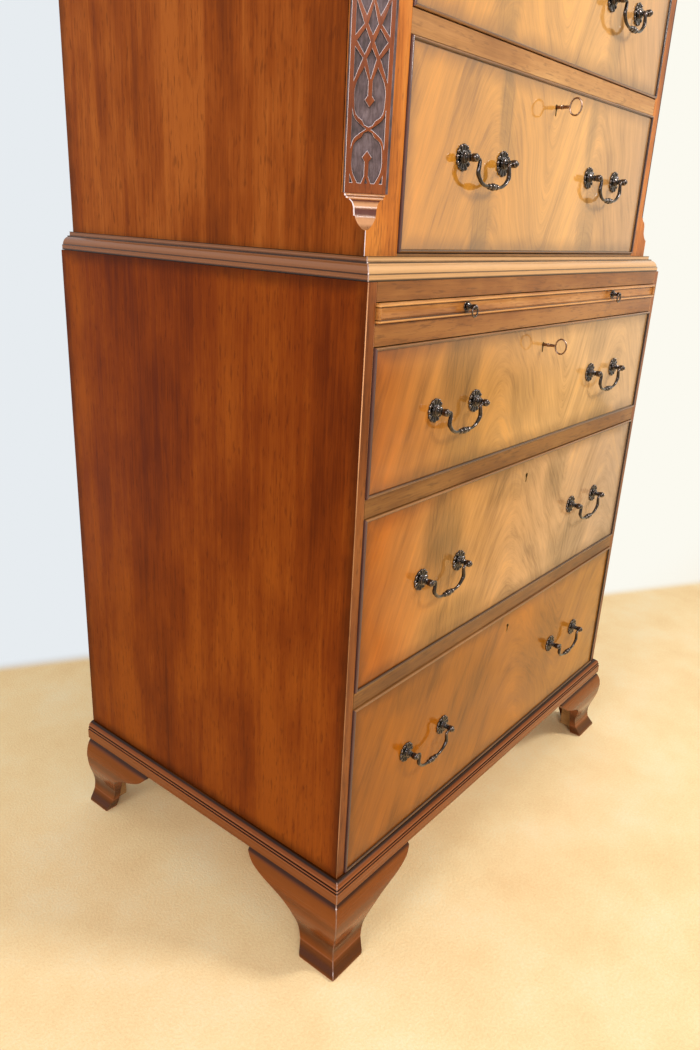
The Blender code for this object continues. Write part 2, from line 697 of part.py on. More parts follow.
def post_loops(x, front, z, reach, pin_out, radius, head, rosette):
    """Turned outline of a rosette, its post, the pierced head and the finial, from the face out."""
    depth = ROSETTE_DEPTH * rosette / ROSETTE_RADIUS
    loops = [circle_across(x, front + POST_ROOT, z, rosette * ROSETTE_SHARES[0][1], POST_SIDES)]
    for along, size in ROSETTE_SHARES:
        loops.append(circle_across(x, front - depth * along, z, rosette * size, POST_SIDES))
    for along, size in POST_PROFILE_SHARES:
        loops.append(circle_across(x, front - reach * along, z, radius * size, POST_SIDES))
    for along, size in POST_HEAD_SHARES:
        loops.append(circle_across(x, front - pin_out - head * along, z, head * size, POST_SIDES))
    loops.append(circle_across(x, front - reach, z, radius * FINIAL_TIP_SHARE, POST_SIDES))
    return loops


def add_posts(front_piece, places, front, z, sizes):
    """Plants posts with their rosettes on a front and drills the holes that their pins turn in."""
    reach, pin_out, radius, head, rosette, hole = sizes
    shape = bmesh.new()
    drills = bmesh.new()
    for x in places:
        loft_into(shape, post_loops(x, front, z, reach, pin_out, radius, head, rosette))
        ring = [
            (front - pin_out + hole * math.cos(a), z + hole * math.sin(a))
            for a in (2 * math.pi * step / PIN_HOLE_SIDES for step in range(PIN_HOLE_SIDES))
        ]
        ends = [[(x + shift, y, up) for y, up in ring] for shift in (-head * 2, head * 2)]
        loft_into(drills, ends)
    apply_boolean(front_piece, add_object("posts", shape), "UNION")
    apply_boolean(front_piece, add_object("pin_holes", drills), "DIFFERENCE")


def keyhole(front_piece, x, front, z, depth):
    """A round hole with a slot below it, cut from the face of a front."""
    outline = []
    slot = KEYHOLE_SLOT_WIDTH / 2
    start = -math.acos(slot / KEYHOLE_RADIUS)
    sweep_angle = 2 * math.pi - 2 * (math.pi / 2 + start)
    for step in range(KEY_SIDES):
        angle = start + sweep_angle * step / (KEY_SIDES - 1)
        outline.append((x + KEYHOLE_RADIUS * math.cos(angle), z + KEYHOLE_RADIUS * math.sin(angle)))
    outline += [(x - slot, z - KEYHOLE_SLOT_LENGTH), (x + slot, z - KEYHOLE_SLOT_LENGTH)]
    ends = [[(px, y, pz) for px, pz in outline] for y in (front - OVERRUN, front + depth)]
    apply_boolean(front_piece, loft("keyhole", ends), "DIFFERENCE")


def lock_pocket(front_piece, x, front, z, top):
    """The hollow for the lock, open to the back and the top edge of a front."""
    half = LOCK_POCKET_WIDTH / 2
    cutter = block(
        "lock_pocket", x - half, x + half, front + LOCK_POCKET_FRONT, front + FRONT_BOARD + OVERRUN,
        z - LOCK_POCKET_FOOT, top + OVERRUN)
    apply_boolean(front_piece, cutter, "DIFFERENCE")


def beaded_front(name, left, right, bottom, top, front, finish):
    """A drawer front with a rounded bead standing proud all round its edge."""
    loops = [front_loop(left, right, bottom, top, front + FRONT_BOARD)]
    for inset_share, proud_share in BEAD_SHARES:
        inset = BEAD_WIDTH * inset_share
        y = front - BEAD_PROUD * proud_share
        loops.append(front_loop(left + inset, right - inset, bottom + inset, top - inset, y))
    return loft(name, loops, finish)


def drawer_box(name, left, right, front, bottom, top):
    """An open-topped drawer box behind its front: two sides, a back and a bottom."""
    face = front + FRONT_BOARD + GLUE_GAP
    back = BACK_FACE - BOX_BACK_CLEARANCE
    box = block(name, left, right, face, back, bottom, top, DRAWER_LINING)
    cutter = block(
        "hollow", left + BOX_WALL, right - BOX_WALL, face - OVERRUN, back - BOX_WALL,
        bottom + BOX_BOTTOM, top + OVERRUN)
    apply_boolean(box, cutter, "DIFFERENCE")
    return box


def bail_points():
    """Half of a bail's centre line, from the pin's end in the post down to the middle."""
    half_pitch = PIN_PITCH / 2
    points = [(half_pitch + POST_HEAD_RADIUS / 2, 0.0, PIN_RADIUS)]
    points.append((half_pitch - POST_HEAD_RADIUS, 0.0, PIN_RADIUS))
    for along, down, size in BAIL_PATH_SHARES:
        points.append((BAIL_SWELL * along, -BAIL_DROP * down, BAIL_RADIUS * size))
    return points


def tube_loops(points, sides):
    """Rings round a centre line in the XZ plane, each square to the line's run."""
    loops = []
    for index, (x, z, radius) in enumerate(points):
        before = points[max(index - 1, 0)]
        after = points[min(index + 1, len(points) - 1)]
        run = Vector((after[0] - before[0], 0, after[1] - before[1])).normalized()
        across = Vector((run.z, 0, -run.x))
        ring = []
        for step in range(sides):
            angle = 2 * math.pi * (step + 0.5) / sides
            offset = across * math.cos(angle) + Vector((0, 1, 0)) * math.sin(angle)
            ring.append(Vector((x, 0, z)) + offset * radius)
        loops.append(ring)
    return loops


def bail(name, x, front, z, body):
    """A swan-neck bail hung in its two posts, with its origin on the pins' axis."""
    half = bail_points()
    points = half + [(-px, pz, radius) for px, pz, radius in reversed(half)]
    thing = loft(name, tube_loops(points, BAIL_SIDES), DARK_BRONZE)
    thing.location = (x, front - PIN_OUT, z)
    shade_round(thing)
    attach(thing, body)


def ring_pull(name, x, front, z, body):
    """A small ring, straight where it passes through the head of its post on the slide."""
    flat = RING_RADIUS - math.sqrt(RING_RADIUS ** 2 - RING_PULL_HEAD_RADIUS ** 2)
    loops = []
    for step in range(RING_STEPS):
        turn = 2 * math.pi * step / RING_STEPS
        spoke = Vector((math.sin(turn), 0, math.cos(turn)))
        centre = spoke * RING_RADIUS - Vector((0, 0, RING_RADIUS - flat))
        centre.z = min(centre.z, 0.0)
        ring = []
        for side in range(BAIL_SIDES):
            angle = 2 * math.pi * side / BAIL_SIDES
            offset = spoke * math.cos(angle) + Vector((0, 1, 0)) * math.sin(angle)
            ring.append(centre + offset * RING_WIRE)
        loops.append(ring)
    thing = loft(name, loops, DARK_BRONZE, closed=True)
    thing.location = (x, front - RING_PULL_OUT, z)
    shade_round(thing)
    attach(thing, body)


def key(name, x, front, z, body):
    """A steel key in its lock: shaft, oval bow and bit, with its origin on the shaft's axis."""
    bow_back = KEY_REACH - KEY_BOW_LENGTH
    stations = (-KEY_INSIDE, bow_back + KEY_BOW_WIRE)
    loops = [circle_across(0, -out, 0, KEY_SHAFT_RADIUS, KEY_SIDES) for out in stations]
    thing = loft(name, loops, KEY_STEEL)
    ring_loops = []
    half_length = KEY_BOW_LENGTH / 2 - KEY_BOW_WIRE
    half_height = KEY_BOW_HEIGHT / 2 - KEY_BOW_WIRE
    middle = KEY_REACH - KEY_BOW_LENGTH / 2
    for step in range(KEY_BOW_STEPS):
        turn = 2 * math.pi * step / KEY_BOW_STEPS
        spoke = Vector((0, -math.cos(turn) * half_length, math.sin(turn) * half_height))
        lean = Vector((0, -math.cos(turn) * half_height, math.sin(turn) * half_length)).normalized()
        ring = []
        for side in range(BAIL_SIDES):
            angle = 2 * math.pi * side / BAIL_SIDES
            offset = lean * math.cos(angle) + Vector((1, 0, 0)) * math.sin(angle)
            ring.append(Vector((0, -middle, 0)) + spoke + offset * KEY_BOW_WIRE)
        ring_loops.append(ring)
    apply_boolean(thing, loft("bow", ring_loops, closed=True), "UNION")
    half = KEY_BIT_WIDTH / 2
    bit = block(
        "bit", -half, half, KEY_INSIDE - KEY_BIT_LENGTH, KEY_INSIDE - GLUE_GAP,
        -KEY_BIT_DROP, -KEY_SHAFT_RADIUS / 2)
    apply_boolean(thing, bit, "UNION")
    thing.location = (x, front, z)
    shade_round(thing)
    attach(thing, body)


def lock_bolt(name, x, front, z, top, body):
    """The plate that the key throws up into the rail above."""
    half = BOLT_WIDTH / 2
    bottom = z - LOCK_POCKET_FOOT + GLUE_GAP
    back = front + BOLT_BACK
    thing = block(
        name, x - half, x + half, back - BOLT_THICKNESS, back, bottom, top - BOLT_TOP_RECESS, KEY_STEEL)
    set_origin(thing, (x, back - BOLT_THICKNESS / 2, bottom))
    attach(thing, body)


def handle_sizes():
    """Sizes of a drawer handle's posts: reach, pin place, post, head, rosette and pin hole."""
    hole = (PIN_RADIUS + PIN_CLEARANCE) / math.cos(math.pi / PIN_HOLE_SIDES)
    return (POST_REACH, PIN_OUT, POST_RADIUS, POST_HEAD_RADIUS, ROSETTE_RADIUS, hole)


def ring_sizes():
    """The same sizes for the slide's ring pulls."""
    hole = (RING_WIRE + PIN_CLEARANCE + GLUE_GAP) / math.cos(math.pi / PIN_HOLE_SIDES)
    return (
        RING_PULL_REACH, RING_PULL_OUT, RING_PULL_POST_RADIUS, RING_PULL_HEAD_RADIUS,
        RING_PULL_ROSETTE, hole,
    )


def drawer(name, left, right, bottom, top, front, parent, inset=None, locked=False):
    """One drawer: beaded front with its posts, box, bails, and a lock with its key where it has one."""
    middle = (left + right) / 2
    pin_z = (bottom + top) / 2
    body = carrier(name, (middle, front, pin_z), parent)
    face = beaded_front(name + "_front", left, right, bottom, top, front, FLAME_VENEER)
    centres = [left + inset, right - inset] if inset else [middle]
    places = [x + offset for x in centres for offset in (-PIN_PITCH / 2, PIN_PITCH / 2)]
    key_z = top - KEYHOLE_DROP
    if locked:
        lock_pocket(face, middle, front, key_z, top)
        keyhole(face, middle, front, key_z, FRONT_BOARD)
    else:
        keyhole(face, middle, front, key_z, KEYHOLE_DEPTH)
    add_posts(face, places, front, pin_z, handle_sizes())
    attach(face, body)
    box_left = left - RUN_GAP + BOX_SIDE_CLEARANCE
    box_right = right + RUN_GAP - BOX_SIDE_CLEARANCE
    floor = bottom - RUN_GAP + GLUE_GAP
    box = drawer_box(name + "_box", box_left, box_right, front, floor, top - BOX_TOP_CLEARANCE)
    attach(box, body)
    for x, end in zip(centres, ("_left", "_right") if inset else ("",)):
        bail(name + "_bail" + end, x, front, pin_z, body)
    if locked:
        key(name + "_key", middle, front, key_z, body)
        lock_bolt(name + "_lock_bolt", middle, front, key_z, top, body)


def brushing_slide(parent):
    """The pull-out slide: a board behind a bead-moulded front with two ring pulls."""
    half = LOWER_INNER - RUN_GAP
    middle_z = (SLIDE_BOTTOM + SLIDE_TOP) / 2
    body = carrier("slide", (0, FRONT, middle_z), parent)
    loops = [front_loop(-half, half, SLIDE_BOTTOM, SLIDE_TOP, FRONT + FRONT_BOARD)]
    for inset_share, proud_share in BEAD_SHARES:
        inset = SLIDE_BEAD * inset_share
        y = FRONT - SLIDE_FACE_PROUD - (SLIDE_PROUD - SLIDE_FACE_PROUD) * proud_share
        loops.append(front_loop(-half + inset, half - inset, SLIDE_BOTTOM + inset, SLIDE_TOP - inset, y))
    thing = loft("brushing_slide", loops, RAIL_MAHOGANY)
    floor = SLIDE_BOTTOM - RUN_GAP + GLUE_GAP
    board_half = LOWER_INNER - SLIDE_SIDE_CLEARANCE
    board = block(
        "slide_board", -board_half, board_half, FRONT + FRONT_BOARD / 2,
        FRONT + SLIDE_BOARD_DEPTH, floor, floor + SLIDE_BOARD)
    apply_boolean(thing, board, "UNION")
    places = (RING_PULL_INSET - half, half - RING_PULL_INSET)
    add_posts(thing, places, FRONT - SLIDE_FACE_PROUD, middle_z, ring_sizes())
    attach(thing, body)
    for x, side in zip(places, ("left", "right")):
        ring_pull("slide_ring_" + side, x, FRONT - SLIDE_FACE_PROUD, middle_z, body)


def build():
    """The whole chest on chest."""
    clear_scene()
    lower = carrier("lower_case", (0, 0, 0))
    upper = carrier("upper_case", (0, UPPER_FRONT, UPPER_BOTTOM), lower)
    lower_case(lower)
    upper_case(upper)
    brushing_slide(lower)
    half = LOWER_INNER - RUN_GAP
    lower_drawers = (
        ("lower_drawer_1", DRAWER_1_BOTTOM, DRAWER_1_TOP, True),
        ("lower_drawer_2", DRAWER_2_BOTTOM, DRAWER_2_TOP, False),
        ("lower_drawer_3", DRAWER_3_BOTTOM, DRAWER_3_TOP, False),
    )
    for name, bottom, top, locked in lower_drawers:
        drawer(name, -half, half, bottom, top, FRONT, lower, HANDLE_INSET, locked)
    half = UPPER_OPENING - RUN_GAP
    upper_drawers = (
        ("upper_drawer_2", UPPER_2_BOTTOM, UPPER_2_TOP, False),
        ("upper_drawer_3", UPPER_3_BOTTOM, UPPER_3_TOP, False),
        ("upper_drawer_4", UPPER_4_BOTTOM, UPPER_4_TOP, True),
    )
    for name, bottom, top, locked in upper_drawers:
        drawer(name, -half, half, bottom, top, UPPER_FRONT, upper, HANDLE_INSET_UPPER, locked)
    near = MULLION / 2 + RUN_GAP
    for name, left, right in (("short_drawer_left", -half, -near), ("short_drawer_right", near, half)):
        drawer(name, left, right, UPPER_1_BOTTOM, UPPER_1_TOP, UPPER_FRONT, upper)


build()
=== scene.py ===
"""The looks of the mahogany chest on chest: finishes, turned and carved detail, light and camera.

Metres, +Z up, as the frame is: the front faces -Y, and left and right are as seen from the front.
"""

import json
import math

import bmesh
import bpy
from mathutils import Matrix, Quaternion, Vector

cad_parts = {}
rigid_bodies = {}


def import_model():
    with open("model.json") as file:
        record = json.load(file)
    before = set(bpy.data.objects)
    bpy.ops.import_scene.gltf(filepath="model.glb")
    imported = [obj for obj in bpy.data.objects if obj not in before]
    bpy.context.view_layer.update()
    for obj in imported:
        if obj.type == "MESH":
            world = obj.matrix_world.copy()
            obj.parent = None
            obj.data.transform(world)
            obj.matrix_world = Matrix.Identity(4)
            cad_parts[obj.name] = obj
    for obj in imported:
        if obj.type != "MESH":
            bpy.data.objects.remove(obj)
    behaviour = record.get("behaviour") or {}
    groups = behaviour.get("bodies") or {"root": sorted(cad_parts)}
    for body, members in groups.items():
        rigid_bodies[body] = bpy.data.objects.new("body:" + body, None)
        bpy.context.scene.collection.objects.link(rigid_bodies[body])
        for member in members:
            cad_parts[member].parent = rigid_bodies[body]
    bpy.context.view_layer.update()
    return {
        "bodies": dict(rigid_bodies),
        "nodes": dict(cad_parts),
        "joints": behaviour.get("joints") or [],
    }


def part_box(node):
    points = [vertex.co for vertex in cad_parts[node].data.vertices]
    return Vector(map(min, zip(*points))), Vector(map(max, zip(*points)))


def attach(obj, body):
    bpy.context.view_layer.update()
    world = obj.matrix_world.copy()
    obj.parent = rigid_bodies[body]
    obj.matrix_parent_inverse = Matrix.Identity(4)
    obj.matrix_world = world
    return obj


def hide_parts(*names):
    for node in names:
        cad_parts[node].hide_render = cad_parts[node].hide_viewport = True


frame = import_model()
joints = {joint["child"]: joint for joint in frame["joints"]}

# Sides of the lower case and of the upper one, and the post at the left of the upper one's front
lower_low, lower_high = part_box("lower_side_left")
upper_low, upper_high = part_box("upper_side_left")
post_low, post_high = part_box("corner_post_left")

# Camera of the photograph: place, direction and lens
CAMERA_PLACE = (-1.07333, -0.77134, 0.95806)
CAMERA_YAW = 51.75
CAMERA_PITCH = -20.196
CAMERA_ROLL = 2.946
CAMERA_LENS = 28.458
CAMERA_SENSOR = 36.0

# Lamps: name, place, the point that each faces, size, power and colour
LAMPS = (
    ("key_light", (0.9, -2.0, 2.3), (0.0, 0.0, 0.9), 0.5, 40.0, (1.0, 0.96, 0.9)),
    ("side_light", (-3.2, -0.3, 2.2), (0.0, 0.0, 0.9), 1.0, 34.0, (1.0, 0.97, 0.94)),
    ("front_light", (-2.3, -2.3, 2.2), (-0.4, -0.2, 0.8), 0.6, 26.0, (1.0, 0.98, 0.98)),
)
WORLD_COLOUR = (1.0, 0.97, 0.93)
WORLD_STRENGTH = 0.62

# Floor and backdrop; every colour here and below is as a screen shows it, from 0 to 255
FLOOR_SIZE = 12.0
FLOOR_REACH = 4.0
FLOOR_BLEND = 3.0
FLOOR_PILE = ((246, 212, 158), (254, 226, 174), (255, 236, 194))
WALL_NORMAL = (0.514, 0.858)
WALL_DISTANCE = 0.51
WALL_BLEND = 0.06
BACKDROP_COOL = (231, 236, 240)
BACKDROP_WARM = (252, 250, 240)
BACKDROP_ROOM = (248, 234, 208)

# Drawer fronts and beads
GAP = 0.0002
FRONT_BOARD = 0.02
BEAD_WIDTH = 0.0034
BEAD_PROUD = 0.003
BEAD_FLANK = 0.4
BEAD_STEPS = 8
PANEL_EDGE = 0.0003
BORDER = 0.02
LOCKED = ("lower_drawer_1", "upper_drawer_4")

# Keyholes, lock pockets and keys; the collars are (place along the shaft, share of its radius)
KEYHOLE_DROP = 0.026
KEYHOLE_RADIUS = 0.003
KEYHOLE_SLOT = 0.0024
KEYHOLE_LENGTH = 0.01
KEYHOLE_DEPTH = 0.012
KEYHOLE_STEPS = 23
LINER = 0.0006
LINER_PROUD = 0.0001
POCKET_FRONT = 0.01
POCKET_WIDTH = 0.026
POCKET_FOOT = 0.012
OVERRUN = 0.01
KEY_REACH = 0.0355
KEY_INSIDE = 0.0135
KEY_SHAFT = 0.002
KEY_BOW_LENGTH = 0.018
KEY_BOW_HEIGHT = 0.022
KEY_BOW_WIRE = 0.0011
KEY_BOW_STEPS = 48
KEY_BIT_DROP = 0.008
KEY_BIT_LENGTH = 0.003
KEY_BIT_WIDTH = 0.0014
KEY_COLLARS = (
    (0.0008, 1.0), (0.001, 1.0), (0.006, 1.0), (0.0064, 1.3), (0.0074, 1.35), (0.0078, 1.0),
    (0.0084, 1.0), (0.0088, 1.25), (0.0096, 1.25), (0.01, 1.0),
)

# Handles
PIN_PITCH = 0.0895
PIN_OUT = 0.016
PIN_RADIUS = 0.0014
ROSETTE_RADIUS = 0.0145
ROSETTE_DEPTH = 0.005
ROSETTE_PETALS = 12
PETAL_NOTCH = 0.09
PETAL_GROOVE = 0.75
POST_REACH = 0.0215
POST_UNIT = 0.003
HEAD_RADIUS = 0.0046
BAIL_DROP = 0.0278
BAIL_RADIUS = 0.0023
BAIL_SWELL = 0.0345
ROUND_SIDES = 24
WIRE_SIDES = 12

# The slide's front and its ring pulls
SLIDE_BEAD = 0.0046
SLIDE_PROUD = 0.0045
SLIDE_FLANK = 0.45
SLIDE_STEPS = 10
SLIDE_QUIRK = 0.0007
SLIDE_HOLLOW = 0.0009
SLIDE_BOARD = 0.016
HOLLOW_STEPS = 6
RING_FACE = 0.0015
RING_OUT = 0.011
RING_REACH = 0.015
RING_ROSETTE = 0.007
RING_HEAD = 0.0034
RING_UNIT = 0.0022
RING_RADIUS = 0.006
RING_WIRE = 0.0011
RING_STEPS = 36

# Feet, mouldings and canted corners
FOOT_LENGTH = 0.152
FOOT_BOARD = 0.006
FOOT_BULGE = 0.0166
FOOT_BLOCK = 0.034
FOOT_BLOCK_LIFT = 0.005
BASE_PROJECTION = 0.0108
BED_DEPTH = 0.02
WAIST_LEDGE = 0.002
WAIST_RUN = 0.0128
WAIST_CLEARANCE = 0.0005
CORNICE_PROJECTION = 0.048
CORNICE_INSIDE = 0.01
CORNICE_GAP = 0.0003
BACK_RAIL = 0.01
TOP_BOARD = 0.012
TOP_SUNK = 0.001
CANT = 0.03
POST_EDGE = 0.0006
STOP_FOOT = 0.0475
STOP_HEIGHT = 0.0347
STOP_STEP = 0.0005
GROUND_STEP = 0.0004
FRET_RAIL = 0.0095
FRET_TAIL = 0.0497
FRET_HEAD = 0.0109
FRET_CROSSINGS = 5
FRET_THICKNESS = 0.0024
FRET_ROUNDING = 0.00035
FRET_WELD = 0.000002
ARRIS = 0.0008
# Chamfers at the corners of the mouldings, feet and posts, which carry painted highlight and shade
CORNER_CHAMFER = 0.0005
POST_CHAMFER = 0.0012
POST_CHAMFER_SHARE = 0.02

# The direction of the painted light on the cut edges of the fret and the posts: edges that face it are
# painted pale and the others painted dark
PAINTED_LIGHT_FROM = (-0.55, 0.05, 0.8)

# Lines of painted shade in the quirks, under the mouldings and on the lamb's tongue, partly dirt gathered
# in the quirks, and lines of painted highlight on crests and arrises, as (height, half width, strength),
# the first two in shares of the height of the piece
BASE_SHADE_AND_STAIN = ((0.587, 0.03, 0.95), (0.722, 0.03, 0.95), (0.975, 0.045, 0.9), (0.01, 0.03, 0.7))
BASE_HIGHLIGHTS = ((0.655, 0.018, 0.75), (0.505, 0.018, 0.55), (0.81, 0.03, 0.45), (0.3, 0.1, 0.15))
WAIST_SHADE_AND_STAIN = ((0.01, 0.06, 0.9), (0.285, 0.03, 0.8), (0.75, 0.035, 0.9), (0.985, 0.02, 0.8))
WAIST_HIGHLIGHTS = ((0.52, 0.1, 0.3), (0.69, 0.016, 0.5), (0.87, 0.016, 0.6), (0.13, 0.014, 0.3))
FOOT_SHADE_AND_STAIN = ((0.99, 0.04, 0.8), (0.09, 0.075, 0.6), (0.34, 0.09, 0.5), (0.7, 0.05, 0.25))
FOOT_HIGHLIGHTS = ((0.182, 0.01, 0.35), (0.01, 0.012, 0.4))
SLIDE_SHADE_AND_STAIN = ((0.205, 0.026, 0.85), (0.795, 0.026, 0.85))
SLIDE_HIGHLIGHTS = ((0.13, 0.03, 0.45), (0.88, 0.03, 0.45))
ARRIS_HIGHLIGHTS = ((0.86, 0.14, 0.9), (0.1, 0.05, 0.3))
TONGUE_SHADE_LINES = ((0.5, 0.1, 0.95), (0.8, 0.02, 0.8))
TONGUE_HIGHLIGHTS = ((0.24, 0.11, 0.6), (0.68, 0.07, 0.6), (0.87, 0.02, 0.8), (0.97, 0.02, 0.8))

# Tones of each wood: its dark bands and pores, its body and its light streaks
ORANGE = ((112, 52, 8), (186, 107, 34), (214, 138, 56))
UMBER = ((84, 38, 10), (122, 64, 24), (150, 88, 38))
TAN = ((134, 86, 38), (172, 120, 64), (200, 150, 90))
RAIL = ((82, 42, 8), (114, 68, 22), (142, 95, 42))
LEDGE = ((104, 56, 14), (138, 84, 32), (166, 112, 54))
SLIDE = ((126, 70, 24), (172, 112, 54), (204, 148, 86))
PALE = ((108, 70, 36), (152, 110, 68), (184, 142, 96))
BEAD = ((58, 30, 12), (96, 58, 26), (138, 92, 48))
PLUM = ((34, 18, 20), (58, 34, 34), (92, 62, 60))
BROWN = ((44, 14, 2), (82, 35, 6), (118, 60, 16))
COVE = ((52, 24, 8), (88, 48, 20), (120, 74, 40))
FRET = ((84, 34, 10), (128, 62, 22), (160, 90, 42))
TONGUE = ((92, 44, 16), (136, 84, 46), (172, 122, 80))
TONGUE_SHADE_TINT = (84, 30, 26)
# Painted highlights: on the chamfered corners, and a softer one on the lower case's front arris
GLINT = ((104, 62, 42), (166, 128, 112), (240, 228, 228))
SOFT_GLINT = ((84, 44, 16), (134, 82, 42), (176, 124, 82))
LINING = ((128, 92, 54), (172, 130, 82), (196, 158, 108))
BACK = ((92, 62, 36), (130, 92, 56), (154, 116, 76))
LOWER_SIDE = ((92, 34, 2), (119, 51, 5), (142, 70, 13))
UPPER_SIDE = ((98, 42, 5), (132, 63, 13), (158, 86, 30))
GROUND = ((48, 34, 38), (88, 70, 76), (128, 112, 120))
FLAME_PORE = (120, 66, 24)

# Tones of the metals, where they are dark and where handling has polished them, and of the fret's cut
# edges, in painted shade and in painted highlight
BRONZE = ((22, 12, 18), (190, 168, 160))
STEEL = ((120, 92, 76), (214, 196, 184))
BRASS = ((110, 84, 48), (200, 170, 120))
FRET_ARRIS = ((44, 22, 16), (236, 224, 232))
FRET_WALL = ((30, 14, 14), (150, 116, 112))

# Places of the tones in the range of a texture
WOOD_STOPS = (0.45, 0.56, 0.68)
GROUND_STOPS = (0.35, 0.5, 0.7)
PILE_STOPS = (0.35, 0.5, 0.65)
TONE_STOPS = (0.04, 0.3, 0.62, 1.0)

# Layers of straight grain: scale across and along it, detail, roughness and distortion
BAND_LAYER = (11.0, 0.9, 1.5, 0.5, 0.5)
STREAK_LAYER = (60.0, 2.6, 3.0, 0.6, 0.5)
FIBRE_LAYER = (340.0, 11.0, 3.0, 0.65, 0.0)
PORE_LAYER = (700.0, 48.0, 1.0, 0.5, 0.0)
MOTTLE_LAYER = (16.0, 7.0, 3.0, 0.55, 0.0)
FLECK_LAYER = (260.0, 44.0, 2.0, 0.6, 0.0)
SEED_SHIFTS = (1.7, 2.3, 3.1)

# Weights of bands, streaks, fibres and mottle in the tone, how far pores, flecks and the bends of
# pieces count, the bends lightening crests and darkening hollows, and how much they darken
GRAIN_WEIGHTS = (0.42, 0.16, 0.18, 0.36)
SIDE_WEIGHTS = (0.3, 0.28, 0.18, 0.36)
PORE_SPAN = (0.6, 0.72)
PORE_SHADE = 0.42
FLECK_SPAN = (0.56, 0.7)
FLECK_SHADE = 0.45
CREST_SPAN = (0.505, 0.56)
HOLLOW_SPAN = (0.495, 0.44)

# Layers of the flame veneer, in the same way: broad bands, strands, fine strands, pores and mottle
FLAME_LAYERS = (
    (15.0, 8.0, 2.0, 0.5, 0.15), (110.0, 20.0, 3.0, 0.6, 0.15), (400.0, 44.0, 2.0, 0.6, 0.0),
    (700.0, 60.0, 1.0, 0.5, 0.0), (60.0, 34.0, 4.0, 0.65, 0.0),
)
FLAME_WEIGHTS = (0.34, 0.17, 0.12, 0.22, 0.2)

# Textures of a whole veneer: what bends its strands, its clouds, the torn and combed smoke
WANDER = ((5.0, 5.0, 7.0), 2.0)
CLOUD = ((8.0, 8.0, 5.0), 2.0, 0.5)
RAGGED = ((70.0, 70.0, 6.0), 3.0, 0.6)
COMB = ((520.0, 520.0, 7.0), 1.0, 0.5)
COMB_SPAN = (0.52, 0.66)
PLUME_WANDER = 0.04
STRAND_WANDER = 0.05
TONE_WANDER = 0.25
SMOKE_WANDER = 0.03
SMOKE_TEAR = 0.9
SMOKE_CORE = 0.45
SMOKE_FADE = 1.7
FLAME_PORES = (0.6, 0.75)
FLAME_PORE_SHADE = 0.25
FLAME_SHADES = (
    (0.41, (0.52, 0.47, 0.41)), (0.49, (0.8, 0.76, 0.7)), (0.56, (0.95, 0.91, 0.86)),
    (0.63, (1.12, 1.03, 0.86)),
)
FLAME_ARCH = 0.04
FLAME_BLEND = 0.05
SMOKE = (0.36, 0.39, 0.39)
SMOKE_COMB = (0.5, 0.46, 0.42)
# Painted shade round the border of each front, next to its bead
BORDER_SHADE = (0.44, 0.39, 0.32)
BORDER_SHARE = 0.7

# Veneer of the sides: the painted shade at its edges, its lighter foot, and on the upper sides where
# the two leaves meet, with the step in tone between them
SIDE_EDGE = 0.018
SIDE_EDGE_SHADE = 0.6
SIDE_LIFT = 0.6
LIFT_TONES = (0.035, -0.01)
LEAF_SHARE = 0.43
LEAF_SEAM = 0.0006
LEAF_STEP = 0.022

# Veneer of the fronts: its tones from left to right, and how strongly it mirrors the room; the paler
# tones to the right are partly painted reflection of the pale room, and the darker tones of the lower
# fronts partly painted shade
UPPER = (((206, 138, 37), (211, 151, 63), (217, 163, 87), (188, 144, 98)), 2.6)
LOWER_1 = (((174, 94, 6), (191, 138, 68), (217, 171, 108), (200, 163, 118)), 1.75)
LOWER_2 = (((172, 93, 1), (197, 143, 77), (204, 164, 119), (185, 157, 131)), 1.4)
LOWER_3 = (((153, 87, 7), (163, 98, 15), (168, 105, 20), (169, 115, 36)), 1.35)

# Figures of the fronts: plumes across the width, rise and lean of the strands, and smoky patches
# as (across, up, half width, half height, strength), all in shares of the front
FIGURES = {
    "lower_drawer_1": (LOWER_1, (0.36, 0.86), 2.0, 0.12, (
        (0.23, 0.76, 0.05, 0.34, 0.55), (0.26, 0.12, 0.05, 0.26, 0.45), (0.74, 0.84, 0.05, 0.24, 0.35),
        (0.8, 0.12, 0.07, 0.2, 0.35), (0.44, 0.4, 0.05, 0.25, 0.25))),
    "lower_drawer_2": (LOWER_2, (0.46, 0.9), 1.8, 0.1, (
        (0.22, 0.78, 0.06, 0.24, 0.6), (0.23, 0.52, 0.07, 0.22, 0.5), (0.27, 0.1, 0.1, 0.16, 0.55),
        (0.63, 0.8, 0.05, 0.18, 0.45), (0.72, 0.17, 0.1, 0.22, 0.45), (0.45, 0.88, 0.1, 0.14, 0.35))),
    "lower_drawer_3": (LOWER_3, (0.55, 0.98), 1.5, 0.15, (
        (0.36, 0.5, 0.1, 0.4, 0.3), (0.66, 0.5, 0.09, 0.4, 0.3), (0.2, 0.9, 0.12, 0.12, 0.3))),
    "upper_drawer_4": (UPPER, (0.28, 0.71), 2.4, -0.03, (
        (0.305, 0.82, 0.022, 0.3, 0.5), (0.25, 0.15, 0.035, 0.28, 0.5),
        (0.68, 0.82, 0.025, 0.26, 0.4), (0.715, 0.16, 0.04, 0.24, 0.45),
        (0.33, 0.56, 0.02, 0.12, 0.3))),
    "upper_drawer_3": (UPPER, (0.3, 0.7), 2.2, 0.02, (
        (0.3, 0.75, 0.03, 0.35, 0.45), (0.74, 0.25, 0.03, 0.3, 0.45), (0.28, 0.15, 0.04, 0.2, 0.4))),
    "upper_drawer_2": (UPPER, (0.32, 0.68), 2.0, 0.0, (
        (0.32, 0.7, 0.03, 0.35, 0.45), (0.68, 0.3, 0.03, 0.35, 0.45))),
    "short_drawer_left": (UPPER, (0.52,), 2.0, 0.05, (
        (0.5, 0.75, 0.06, 0.3, 0.45), (0.54, 0.15, 0.07, 0.22, 0.4))),
    "short_drawer_right": (UPPER, (0.48,), 2.0, -0.05, (
        (0.5, 0.75, 0.06, 0.3, 0.45), (0.46, 0.15, 0.07, 0.22, 0.4))),
}

